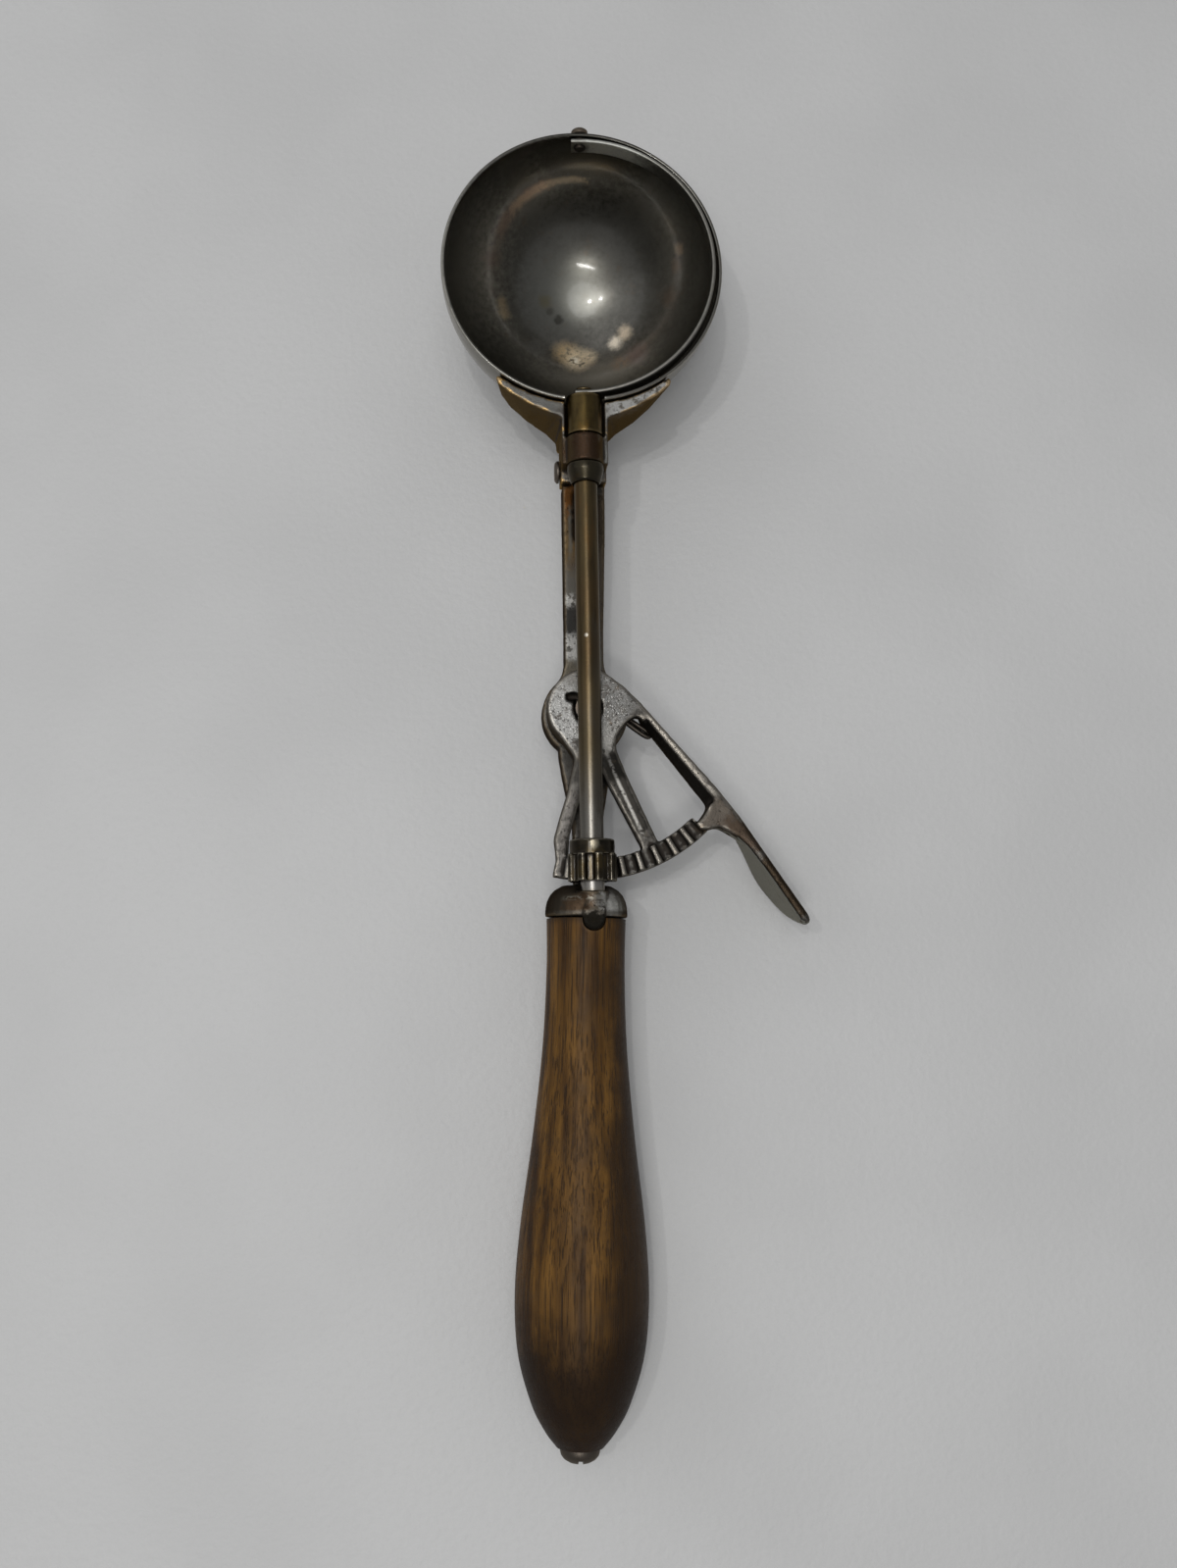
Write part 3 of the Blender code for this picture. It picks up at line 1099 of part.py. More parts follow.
def make_end_fittings(handle_line):
    """Washer in the butt's recess and the slotted dome nut on the tang."""
    floor = -GAP - HANDLE_LENGTH + END_RECESS
    washer_front = floor - GAP
    washer_rear = washer_front - END_WASHER_THICKNESS
    bore = TANG_RADIUS + GAP
    washer = ring("end_washer", END_NUT_RADIUS - GAP, bore, washer_rear, washer_front, handle_line,
                  SMALL_STEPS + 4, rotation=ALONG_ROD)
    nut_front = washer_rear - GAP
    nut_rear = nut_front - END_NUT_HEIGHT
    shoulder = nut_front - 0.3 * END_NUT_HEIGHT
    crown = dome(END_NUT_RADIUS, 0, 0.7 * END_NUT_HEIGHT)
    profile = [(bore, nut_front), (END_NUT_RADIUS, nut_front)]
    profile += [(radius, shoulder - height) for radius, height in reversed(crown)]
    floor_of_bore = nut_front - END_NUT_HEIGHT / 2 - GAP
    profile += [(0, nut_rear)] if profile[-1][0] > 0.01 * MM else []
    nut = turned("end_nut", [(0, nut_front)] + profile[1:], handle_line, steps=SMALL_STEPS + 4,
                 rotation=ALONG_ROD)
    hole = cylinder("end_nut_bore", bore, (0, floor_of_bore, 0), (0, nut_front + END_NUT_HEIGHT, 0),
                    handle_line, 24)
    half = END_NUT_SLOT / 2
    reach = 2 * END_NUT_RADIUS
    slot = box("end_nut_slot", (-half, nut_rear - END_NUT_HEIGHT, -reach),
               (half, nut_rear + 0.35 * END_NUT_HEIGHT, reach), handle_line)
    cut(nut, hole, slot)
    make_part(washer, "dark_steel")
    make_part(nut, "dark_steel")


def resting_turn(belly, pad_low):
    """Turn that brings the bowl, the handle's belly and the thumb pad down to one level."""
    belly_centre, belly_radius = belly
    up = Vector((0, 0, 1))
    for _ in range(20):
        belly_side = belly_radius - BOWL_RADIUS - belly_centre.z * up.z
        pad_side = -BOWL_RADIUS - pad_low.z * up.z
        table = Matrix(((belly_centre.x, belly_centre.y), (pad_low.x, pad_low.y)))
        flat = table.inverted() @ Vector((belly_side, pad_side))
        up = Vector((flat.x, flat.y, math.sqrt(1 - flat.length_squared)))
    forward = Vector((0, 1, 0))
    right = forward.cross(up).normalized()
    forward = up.cross(right)
    return Matrix((right, forward, up)).to_euler()


def pad_low_point():
    """Lowest point of the thumb pad, in the tool frame."""
    deepest = max(PAD_STATIONS, key=lambda station: station[1])[0]
    back = PAD_LENGTH * (1 - deepest)
    return Vector((PAD_TIP[0] - back * math.cos(PAD_ANGLE),
                   PIVOT_Y + PAD_TIP[1] + back * math.sin(PAD_ANGLE), LEVER_TOP - PAD_DEPTH))


def handle_belly():
    """Centre and radius of the handle at its widest, in the tool frame."""
    along, radius = max(HANDLE_STATIONS, key=lambda station: station[1])
    back = GAP + along * HANDLE_LENGTH
    centre = Vector((HANDLE_SHIFT + back * math.sin(HANDLE_LEAN),
                     FERRULE_REAR - back * math.cos(HANDLE_LEAN), HANDLE_Z))
    return centre, radius * MM


def stand_on_ground(tool):
    """Move the whole tool so that its box stands centred on the origin, at height 0."""
    bpy.context.view_layer.update()
    graph = bpy.context.evaluated_depsgraph_get()
    low = Vector((math.inf,) * 3)
    high = -low
    for obj in COLLECTIONS["parts"].objects:
        shown = obj.evaluated_get(graph)
        mesh = shown.to_mesh()
        for vert in mesh.vertices:
            place = obj.matrix_world @ vert.co
            low = Vector(map(min, low, place))
            high = Vector(map(max, high, place))
        shown.to_mesh_clear()
    tool.location -= Vector(((low.x + high.x) / 2, (low.y + high.y) / 2, low.z))
    bpy.context.view_layer.update()
    size = (high - low) / MM
    print(f"overall size: {size.x:.1f} x {size.y:.1f} x {size.z:.1f} mm")


def main():
    start_scene()
    tool = make_empty("tool", rotation=resting_turn(handle_belly(), pad_low_point()))
    rod_axis = make_empty("rod_axis", tool)
    lever_axis = make_empty("lever_axis", tool, (0, PIVOT_Y, 0))
    handle_line = make_empty("handle_line", tool, (HANDLE_SHIFT, FERRULE_REAR, HANDLE_Z),
                             (0, 0, HANDLE_LEAN))
    make_bowl(tool)
    make_tip_rivet(tool)
    make_yoke(tool)
    make_cross_screw(tool)
    make_shank(tool, handle_line)
    make_pivot(tool)
    make_spring(tool)
    make_handle(tool, handle_line)
    make_tang(handle_line)
    make_end_fittings(handle_line)
    make_rod(rod_axis)
    make_sleeve(rod_axis)
    make_collar(rod_axis)
    make_pinion(rod_axis)
    make_pinion_pin(rod_axis)
    make_blade(rod_axis)
    make_lever(lever_axis)
    stand_on_ground(tool)


main()
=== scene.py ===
import json
import math

import bmesh
import bpy
import numpy as np
from mathutils import Euler, Matrix, Vector


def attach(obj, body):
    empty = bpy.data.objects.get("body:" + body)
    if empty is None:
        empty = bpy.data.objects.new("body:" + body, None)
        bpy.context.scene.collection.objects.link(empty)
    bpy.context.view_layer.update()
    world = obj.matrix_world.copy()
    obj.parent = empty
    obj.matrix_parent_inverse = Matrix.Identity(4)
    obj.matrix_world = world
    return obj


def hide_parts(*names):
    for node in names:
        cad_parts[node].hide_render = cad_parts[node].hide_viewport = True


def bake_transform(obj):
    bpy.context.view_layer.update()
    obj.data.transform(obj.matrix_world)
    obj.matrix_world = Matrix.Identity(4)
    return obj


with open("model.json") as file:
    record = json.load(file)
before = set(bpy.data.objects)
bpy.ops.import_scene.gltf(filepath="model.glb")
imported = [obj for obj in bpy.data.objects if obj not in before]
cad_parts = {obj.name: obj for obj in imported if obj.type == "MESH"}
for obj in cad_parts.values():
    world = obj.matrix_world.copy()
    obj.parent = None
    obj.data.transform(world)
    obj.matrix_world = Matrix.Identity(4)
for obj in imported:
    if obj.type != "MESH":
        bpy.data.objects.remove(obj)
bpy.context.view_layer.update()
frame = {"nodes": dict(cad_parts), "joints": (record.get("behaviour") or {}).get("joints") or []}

mm = 0.001

# The tool's own axes: the rod lies along Y, Z points out of the bowl, the origin is the bowl's centre
jointToBowl = 60                                              # mm along the rod
pivotY = -97.7                                                # the lever's pivot on those axes, mm
jointOf = {joint["name"]: joint for joint in frame["joints"]}
rodWay = Vector(jointOf["scraper_turn"]["axis"]).normalized()
upWay = -Vector(jointOf["lever_squeeze"]["axis"]).normalized()
rightWay = rodWay.cross(upWay).normalized()
upWay = rightWay.cross(rodWay)
bowlCentre = Vector(jointOf["scraper_turn"]["pos_m"]) + rodWay * jointToBowl * mm
toolTurn = Matrix((rightWay, rodWay, upWay)).transposed()
toTool = Matrix.Translation(bowlCentre) @ toolTurn.to_4x4()
alongRod = toTool @ Matrix.Rotation(-math.pi / 2, 4, "X")     # a lathe's Z becomes the tool's Y


# Tool millimetres to the scene
def place(x, y, z):
    return toTool @ (Vector((x, y, z)) * mm)


# Points of the scene on the tool's axes, in metres
def onTool(co):
    return (co - np.array(bowlCentre)) @ np.array(toolTurn)


# Node helpers

# A socket is linked, a plain value is set on the socket itself
def feed(tree, node, inputs):
    for key, value in inputs.items():
        if isinstance(value, bpy.types.NodeSocket):
            tree.links.new(value, node.inputs[key])
        else:
            node.inputs[key].default_value = value


def addNode(tree, kind, inputs=None, **settings):
    made = tree.nodes.new(kind)
    for key, value in settings.items():
        setattr(made, key, value)
    feed(tree, made, inputs or {})
    return made


def sums(tree, operation, *values):
    return addNode(tree, "ShaderNodeMath", dict(enumerate(values)), operation=operation).outputs[0]


# Short calls for one tree's sums: add, less, times and most
def mathOf(tree):
    def shortCall(operation):
        return lambda first, second: sums(tree, operation, first, second)
    return [shortCall(operation) for operation in ("ADD", "SUBTRACT", "MULTIPLY", "MAXIMUM")]


def vectorMath(tree, operation, first, second):
    return addNode(tree, "ShaderNodeVectorMath", {0: first, 1: second}, operation=operation).outputs


# 0 below low, 1 above high
def ramp(tree, value, low, high):
    inputs = {"Value": value, "From Min": low, "From Max": high}
    return addNode(tree, "ShaderNodeMapRange", inputs, interpolation_type="SMOOTHSTEP").outputs["Result"]


def blendColour(tree, factor, first, second):
    first, second = [(*c[:3], 1.0) if isinstance(c, (tuple, list)) else c for c in (first, second)]
    return addNode(tree, "ShaderNodeMix", {0: factor, 6: first, 7: second}, data_type="RGBA").outputs[2]


def newMaterial(name):
    material = bpy.data.materials.new(name)
    material.use_nodes = True
    tree = material.node_tree
    tree.nodes.clear()
    shader = addNode(tree, "ShaderNodeBsdfPrincipled")
    addNode(tree, "ShaderNodeOutputMaterial", {"Surface": shader.outputs["BSDF"]})
    return material, tree, shader


# Object coordinates as millimetres about a place on the tool
def toolSpace(tree, centre=(0, 0, 0), lean=0.0):
    turn = (toolTurn.to_4x4() @ Matrix.Rotation(lean, 4, "Z")).to_euler()
    coords = addNode(tree, "ShaderNodeTexCoord").outputs["Object"]
    inputs = {"Vector": coords, "Location": place(*centre), "Rotation": turn, "Scale": (mm, mm, mm)}
    return addNode(tree, "ShaderNodeMapping", inputs, vector_type="TEXTURE").outputs["Vector"]


noiseMiddle = 0.5                                             # a noise swings about this value


def noiseOf(tree, where, scale, detail, roughness, shift=0, stretch=None):
    if stretch:
        where = vectorMath(tree, "MULTIPLY", where, stretch)[0]
    if shift:
        where = vectorMath(tree, "ADD", where, (shift, shift * 0.7, -shift))[0]
    inputs = {"Vector": where, "Scale": scale, "Detail": detail, "Roughness": roughness}
    return addNode(tree, "ShaderNodeTexNoise", inputs).outputs["Fac"]


def attribute(tree, name):
    return addNode(tree, "ShaderNodeAttribute", attribute_name=name).outputs["Fac"]


def bumpOf(tree, height, depth):
    inputs = {"Height": height, "Distance": depth * mm, "Strength": 1.0}
    return addNode(tree, "ShaderNodeBump", inputs).outputs["Normal"]


# Patches on the metal, in tool millimetres: each is a ragged ball about a place

# Extras: band (a streak along a plane), speckle and a fine grain of dots (painted glints where bright, dark specks
# where dark), matt, rough, faceOn (side faces only)
def mark(at, size, soft, colour, share, **extras):
    return dict(at=at, size=size, soft=soft, colour=colour, share=share, **extras)


# Where edges don't show as worn
def calm(at, size, soft):
    return {"calm": True, "at": at, "size": size, "soft": soft}


# A band's plane: its normal, its level through a point (moved by off) and its half width
def through(way, point, half, off=0.0):
    return way, sum(a * b for a, b in zip(way, point)) + off, half


# Metals. dark, warm: mottle and stains over the base; worn: edges; side: sideways faces, part patina and part painted
# shade

oldMetal = {
    "side": (0.1, 0.1, 0.1), "sideGrimeAndShadeShare": 0.0, "glance": (0.8, 0.77, 0.72), "coat": 0.0, "coatRough": 0.13,
    "darkLow": 0.40, "darkHigh": 0.64, "warmLow": 0.5, "warmHigh": 0.72, "wornEdge": 0.4, "edgeFrom": 0.45,
    "grimeHollow": 0.9,
}
castNickel = dict(
    oldMetal, base=(0.20, 0.195, 0.183), dark=(0.075, 0.069, 0.062), warm=(0.13, 0.09, 0.05),
    grime=(0.022, 0.018, 0.015), worn=(0.36, 0.33, 0.28), side=(0.06, 0.054, 0.046), sideGrimeAndShadeShare=0.5,
    darkLow=0.42, warmLow=0.56, warmHigh=0.76, specks=0.55, rough=(0.30, 0.50), bump=0.05)
yokeNickel = dict(
    castNickel, base=(0.17, 0.16, 0.143), worn=(0.46, 0.30, 0.12), wornEdge=0.9, edgeFrom=0.70,
    side=(0.095, 0.070, 0.042), sideGrimeAndShadeShare=0.8, glance=(0.52, 0.42, 0.30))
shankNickel = dict(
    castNickel, base=(0.076, 0.072, 0.065), dark=(0.030, 0.027, 0.023), worn=(0.22, 0.17, 0.11),
    wornEdge=0.3, side=(0.045, 0.038, 0.030), sideGrimeAndShadeShare=0.8, glance=(0.28, 0.22, 0.15))
leverNickel = dict(
    castNickel, base=(0.088, 0.083, 0.076), dark=(0.038, 0.035, 0.031), warm=(0.082, 0.060, 0.040),
    worn=(0.36, 0.33, 0.285), wornEdge=0.42, rough=(0.24, 0.42), specks=0.5,
    side=(0.034, 0.031, 0.028), sideGrimeAndShadeShare=0.85, glance=(0.42, 0.38, 0.33))
bowlNickel = dict(
    oldMetal, base=(0.140, 0.135, 0.120), dark=(0.096, 0.092, 0.080), warm=(0.142, 0.112, 0.086),
    grime=(0.034, 0.031, 0.025), worn=(0.46, 0.44, 0.39), darkLow=0.36, darkHigh=0.70, warmLow=0.56, warmHigh=0.84,
    wornEdge=0.8, edgeFrom=0.42, grimeHollow=0.3, specks=0.10, rough=(0.27, 0.36), bump=0.006,
    coat=0.5, coatRough=0.09)
bladeNickel = dict(
    bowlNickel, base=(0.16, 0.156, 0.142), dark=(0.105, 0.101, 0.09), warm=(0.15, 0.12, 0.088),
    worn=(0.26, 0.25, 0.225), wornEdge=0.6, edgeFrom=0.7, specks=0.1, bump=0.012, coat=0.0, rough=(0.34, 0.46))
sleeveBrass = dict(
    oldMetal, base=(0.090, 0.062, 0.020), dark=(0.042, 0.028, 0.010), warm=(0.118, 0.068, 0.018),
    grime=(0.014, 0.010, 0.006), worn=(0.30, 0.22, 0.11), darkHigh=0.66, specks=0.25, rough=(0.22, 0.36),
    bump=0.010, coat=0.15)
collarBrass = dict(
    sleeveBrass, base=(0.037, 0.031, 0.019), dark=(0.018, 0.015, 0.010), warm=(0.040, 0.027, 0.012),
    worn=(0.17, 0.145, 0.09))
rodBrass = dict(
    sleeveBrass, base=(0.080, 0.057, 0.026), dark=(0.040, 0.029, 0.015), warm=(0.092, 0.052, 0.019),
    darkLow=0.42, rough=(0.24, 0.40))
pinionBrass = dict(
    sleeveBrass, base=(0.030, 0.024, 0.015), dark=(0.011, 0.009, 0.006), warm=(0.036, 0.024, 0.010),
    worn=(0.24, 0.215, 0.17), wornEdge=0.5, grimeHollow=1.0)
darkSteel = dict(
    oldMetal, base=(0.070, 0.060, 0.051), dark=(0.032, 0.027, 0.024), warm=(0.09, 0.055, 0.03),
    grime=(0.012, 0.010, 0.008), worn=(0.22, 0.19, 0.16), grimeHollow=0.8, specks=0.3, rough=(0.34, 0.55), bump=0.03)
blackSteel = dict(darkSteel, base=(0.018, 0.014, 0.011), dark=(0.010, 0.008, 0.007), warm=(0.022, 0.014, 0.009))
rivetNickel = dict(castNickel, base=(0.17, 0.135, 0.105), dark=(0.075, 0.058, 0.045), warmLow=0.4, wornEdge=0.35)

# Noises are scale, detail, roughness and shift; ranges are where an effect begins and is full
metalGrain = {
    "broad": (0.16, 4, 0.6), "mottle": (0.75, 5, 0.62, 31), "stain": (0.33, 5, 0.6, 55), "fine": (4.5, 4, 0.6, 77),
    "scratch": (2.2, 3, 0.6, 12, (6.0, 0.6, 1.5)), "broadShare": 0.55,
    "freckles": (0.45, 0.75), "freckleShare": 0.35,
    "side": (0.14, 0.52), "sideRagged": 0.4, "sideDull": 0.15, "faceOn": (0.35, 0.7),
    "ragged": (0.45, 1.1), "wornReach": 0.5, "wornShine": 0.08, "dirt": (0.18, 0.7), "dirtDull": 0.25,
    "dirtInsulates": 0.6, "dirtTint": (0.3, 0.27, 0.24),
    "pitScale": 0.9, "pitRagged": 0.5, "pits": (0.44, 0.32), "pitDepth": 1.5, "scratchDepth": 0.5,
}
patchEdge = {"ragged": 1.6, "band": (1.7, 0.2), "grains": (3, 0.6, 91)}     # raggedness in radii, band in half widths


# 1 inside a patch, 0 outside it
def patchCover(tree, where, mottle, spot):
    add, less, times, _ = mathOf(tree)
    gap = vectorMath(tree, "DISTANCE", where, spot["at"])["Value"]
    gap = add(gap, times(less(mottle, noiseMiddle), spot["size"] * patchEdge["ragged"]))
    inside = ramp(tree, gap, spot["size"] + spot["soft"], spot["size"] - spot["soft"])
    if "band" in spot:
        way, level, half = spot["band"]
        none, full = [half * share for share in patchEdge["band"]]
        off = sums(tree, "ABSOLUTE", less(vectorMath(tree, "DOT_PRODUCT", where, way)["Value"], level))
        off = add(off, times(less(mottle, noiseMiddle), half))
        inside = times(inside, ramp(tree, off, none, full))
    return inside


# Old plated metal: mottled colour, bright worn edges, dirt in the hollows, pits and fine scratches
def metalFinish(name, recipe, patches=(), grain=None):
    material, tree, shader = newMaterial(name)
    add, less, times, most = mathOf(tree)
    look, where = metalGrain, toolSpace(tree)
    broad, mottle, stain = [noiseOf(tree, where, *look[key], stretch=grain) for key in ("broad", "mottle", "stain")]
    fine, scratch = [noiseOf(tree, where, *look[key]) for key in ("fine", "scratch")]
    flank, edge, hollow = [attribute(tree, key) for key in ("side", "edge", "hollow")]
    mixed = add(times(broad, look["broadShare"]), times(mottle, 1 - look["broadShare"]))
    colour = blendColour(tree, ramp(tree, mixed, recipe["darkLow"], recipe["darkHigh"]), recipe["base"], recipe["dark"])
    colour = blendColour(tree, ramp(tree, stain, recipe["warmLow"], recipe["warmHigh"]), colour, recipe["warm"])
    total = {}                                                # what the patches add up to, by effect

    def gather(key, join, cover):
        total[key] = join(total[key], cover) if key in total else cover

    for spot in patches:
        inside = patchCover(tree, where, mottle, spot)
        if "calm" in spot:
            gather("calm", most, inside)
            continue
        if "faceOn" in spot:
            inside = times(inside, ramp(tree, flank, *look["faceOn"]))
        inside = times(inside, spot["share"])
        if "speckle" in spot:
            inside = times(inside, ramp(tree, mottle, *spot["speckle"]))
        if "glints" in spot:
            low, high, scale = spot["glints"]
            inside = times(inside, ramp(tree, noiseOf(tree, where, scale, *patchEdge["grains"]), low, high))
        colour = blendColour(tree, inside, colour, spot["colour"])
        for key, join in (("faceOn", most), ("matt", most), ("rough", add)):
            if key in spot:
                gather(key, join, times(inside, spot[key]))

    freckles = times(ramp(tree, fine, *look["freckles"]), look["freckleShare"])
    colour = blendColour(tree, freckles, colour, recipe["dark"])
    # Faces that look sideways take the side colour: partly dark patina, partly painted shade
    if recipe["sideGrimeAndShadeShare"]:
        side = ramp(tree, add(flank, times(less(mottle, noiseMiddle), look["sideRagged"])), *look["side"])
        if "faceOn" in total:
            side = times(side, less(1.0, total["faceOn"]))
        colour = blendColour(tree, times(side, recipe["sideGrimeAndShadeShare"]), colour, recipe["side"])
    least, swing = look["ragged"]
    ragged = add(least, times(mottle, swing))
    worn = ramp(tree, times(edge, ragged), recipe["edgeFrom"], recipe["edgeFrom"] + look["wornReach"])
    worn = times(worn, recipe["wornEdge"])
    if "calm" in total:
        worn = times(worn, less(1.0, total["calm"]))
    colour = blendColour(tree, worn, colour, recipe["worn"])
    dirt = times(ramp(tree, times(hollow, ragged), *look["dirt"]), recipe["grimeHollow"])
    cells = addNode(tree, "ShaderNodeTexVoronoi", {"Vector": where, "Scale": look["pitScale"]}, feature="F1")
    pits = add(cells.outputs["Distance"], times(fine, look["pitRagged"]))
    pits = times(ramp(tree, pits, *look["pits"]), recipe["specks"])
    dirt = most(dirt, pits)
    colour = blendColour(tree, dirt, colour, recipe["grime"])
    low, high = recipe["rough"]
    rough = add(add(low, times(mixed, high - low)), times(dirt, look["dirtDull"]))
    rough = less(rough, times(worn, look["wornShine"]))
    if "rough" in total:
        rough = add(rough, total["rough"])
    if recipe["sideGrimeAndShadeShare"]:
        rough = add(rough, times(side, look["sideDull"]))
    metal = less(1.0, times(dirt, look["dirtInsulates"]))
    if "matt" in total:
        metal = less(metal, total["matt"])
    height = less(add(fine, times(scratch, look["scratchDepth"])), times(pits, look["pitDepth"]))
    feed(tree, shader, {
        "Base Color": colour, "Roughness": rough, "Metallic": metal,
        "Specular Tint": blendColour(tree, dirt, recipe["glance"], look["dirtTint"]),
        "Coat Weight": recipe["coat"], "Coat Roughness": recipe["coatRough"],
        "Normal": bumpOf(tree, height, recipe["bump"])})
    return material


print("metals ready")


# Mesh helpers

def linkNew(name, data):
    obj = bpy.data.objects.new(name, data)
    bpy.context.scene.collection.objects.link(obj)
    return obj


def meshFrom(name, shape):
    mesh = bpy.data.meshes.new(name)
    shape.to_mesh(mesh)
    shape.free()
    return mesh


# Faces turned outwards, and doubles merged where weld gives a distance
def mend(mesh, weld=0):
    shape = bmesh.new()
    shape.from_mesh(mesh)
    if weld:
        bmesh.ops.remove_doubles(shape, verts=shape.verts, dist=weld)
    bmesh.ops.recalc_face_normals(shape, faces=shape.faces)
    shape.to_mesh(mesh)
    shape.free()


# A skin over rows of points, closed at both ends
def loft(name, rows, capTurn=1):
    shape = bmesh.new()
    rows = [[shape.verts.new(point) for point in row] for row in rows]
    for first, second in zip(rows, rows[1:]):
        for i in range(len(first)):
            j = (i + 1) % len(first)
            shape.faces.new((first[i], first[j], second[j], second[i]))
    shape.faces.new(rows[0][::capTurn])
    shape.faces.new(rows[-1][::-capTurn])
    bmesh.ops.recalc_face_normals(shape, faces=shape.faces)
    return meshFrom(name, shape)


# The object with its modifiers applied, as a plain mesh under a new name
def settled(obj, name):
    bpy.context.view_layer.update()
    graph = bpy.context.evaluated_depsgraph_get()
    mesh = bpy.data.meshes.new_from_object(obj.evaluated_get(graph))
    bpy.data.objects.remove(obj)
    mesh.name = name
    return linkNew(name, mesh)


def arrays(mesh):
    co = np.zeros(len(mesh.vertices) * 3, np.float64)
    mesh.vertices.foreach_get("co", co)
    edges = np.zeros(len(mesh.edges) * 2, np.int64)
    mesh.edges.foreach_get("vertices", edges)
    return co.reshape(-1, 3), edges.reshape(-1, 2)


def setCo(mesh, co):
    mesh.vertices.foreach_set("co", co.astype(np.float32).ravel())
    mesh.update()


def setAttributes(mesh, **values):
    for name, value in values.items():
        mesh.attributes.new(name, "FLOAT", "POINT").data.foreach_set("value", value.astype(np.float32))


# Neighbour averaging; with push it keeps the volume
def relaxed(co, edges, passes, pull=0.5, push=None):
    count = np.maximum(np.bincount(edges.ravel(), minlength=len(co)), 1)[:, None]
    for step in range(passes):
        for share in ((pull,) if push is None else (pull, -push)):
            total = np.zeros_like(co)
            np.add.at(total, edges[:, 0], co[edges[:, 1]])
            np.add.at(total, edges[:, 1], co[edges[:, 0]])
            co = co + share * (total / count - co)
    return co


wearPasses = {"least": 4, "most": 60, "perStep": 1.5}


# Attributes edge and hollow from how far each point stands off a smoothed copy, and side from where it faces.
# reach: how wide an edge is looked at, full: the stand that counts as 1, both in mm.
def markWear(obj, reach, full):
    mesh = obj.data
    co, edges = arrays(mesh)
    step = np.linalg.norm(co[edges[:, 0]] - co[edges[:, 1]], axis=1).mean()
    wanted = (reach * mm / step) ** 2 * wearPasses["perStep"]
    passes = int(min(wearPasses["most"], max(wearPasses["least"], wanted)))
    normals = np.zeros(len(co) * 3)
    mesh.vertices.foreach_get("normal", normals)
    normals = normals.reshape(-1, 3)
    stand = ((co - relaxed(co, edges, passes)) * normals).sum(1) / (full * mm)
    setAttributes(mesh, edge=np.clip(stand, 0, 1), hollow=np.clip(-stand, 0, 1),
                  side=1 - np.abs(normals @ np.array(upWay)))


weldReach = 2e-6                                              # metres


# A welded copy of a CAD node
def merged(nodeName, name):
    mesh = frame["nodes"][nodeName].data.copy()
    mend(mesh, weldReach)
    mesh.materials.clear()
    return linkNew(name, mesh)


rubbing = {"settlePasses": 3, "pull": 0.5, "push": 0.52}


# A fine even skin over the piece, its sharp edges rubbed down; share says how much, point by point
def remeshed(obj, voxel, passes, share=None):
    name = obj.name
    skin = obj.modifiers.new("skin", "REMESH")
    skin.mode, skin.voxel_size = "VOXEL", voxel * mm
    obj = settled(obj, name)
    co, edges = arrays(obj.data)
    rub = np.ones((len(co), 1)) if share is None else share(onTool(co) / mm)[:, None]
    pull = rubbing["pull"] * rub
    co = relaxed(co, edges, rubbing["settlePasses"], rubbing["pull"], rubbing["push"])
    once = relaxed(co, edges, passes, pull)
    setCo(obj.data, 2 * once - relaxed(once, edges, passes, pull))    # twice less once keeps the width of bars
    obj.data.shade_smooth()
    return obj


def finishPiece(obj, material, body, node, wear=None):
    if wear:
        markWear(obj, *wear)
    obj.data.materials.clear()
    obj.data.materials.append(material)
    for face in obj.data.polygons:
        face.material_index = 0
    if body:
        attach(obj, body)
    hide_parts(node)


cornerShare = 0.49                                            # the most of a side that a rounding takes


# Corners (x, y, radius) rounded by short curves
def roundedLine(points, steps=4):
    line = []
    for i, (x, y, radius) in enumerate(points):
        here = Vector((x, y))
        if radius <= 0 or i in (0, len(points) - 1):
            line.append((x, y))
            continue
        before = Vector(points[i - 1][:2]) - here
        after = Vector(points[i + 1][:2]) - here
        a = here + before.normalized() * min(radius, before.length * cornerShare)
        b = here + after.normalized() * min(radius, after.length * cornerShare)
        for k in range(steps + 1):
            t = k / steps
            p = a * (1 - t) ** 2 + here * 2 * t * (1 - t) + b * t * t
            line.append((p.x, p.y))
    return line


# A quarter round (radius out, place along, no rounding) from the axis to the rim
def dome(radius, rim, rise, steps):
    return [(radius * math.sin(a), rim + rise * math.cos(a), 0) for a in quarter(steps)]


def quarter(steps):
    return [math.pi / 2 * i / steps for i in range(steps + 1)]


# Points at even steps between two places along a straight side
def between(radius, start, end, steps):
    return [(radius, start + (end - start) * i / steps, 0) for i in range(1, steps)]


def polyline(name, points):
    mesh = bpy.data.meshes.new(name)
    mesh.from_pydata([tuple(p) for p in points], [(i, i + 1) for i in range(len(points) - 1)], [])
    return linkNew(name, mesh)


# Geometry Nodes trees

def newTree(name, **sockets):
    tree = bpy.data.node_groups.new(name, "GeometryNodeTree")
    tree.interface.new_socket("Geometry", in_out="INPUT", socket_type="NodeSocketGeometry")
    for label, (kind, value) in sockets.items():
        made = tree.interface.new_socket(label, in_out="INPUT", socket_type="NodeSocket" + kind)
        if value is not None:
            made.default_value = value
    tree.interface.new_socket("Finish", in_out="INPUT", socket_type="NodeSocketMaterial")
    tree.interface.new_socket("Geometry", in_out="OUTPUT", socket_type="NodeSocketGeometry")
    start = addNode(tree, "NodeGroupInput")

    def step(kind, inputs=None, **settings):
        return addNode(tree, "GeometryNode" + kind, inputs, **settings).outputs[0]

    def end(geometry):
        smooth = step("SetShadeSmooth", {"Geometry": step("RealizeInstances", {"Geometry": geometry})})
        painted = step("SetMaterial", {"Geometry": smooth, "Material": start.outputs["Finish"]})
        addNode(tree, "NodeGroupOutput", {0: painted})
        return tree

    return tree, start.outputs, step, end


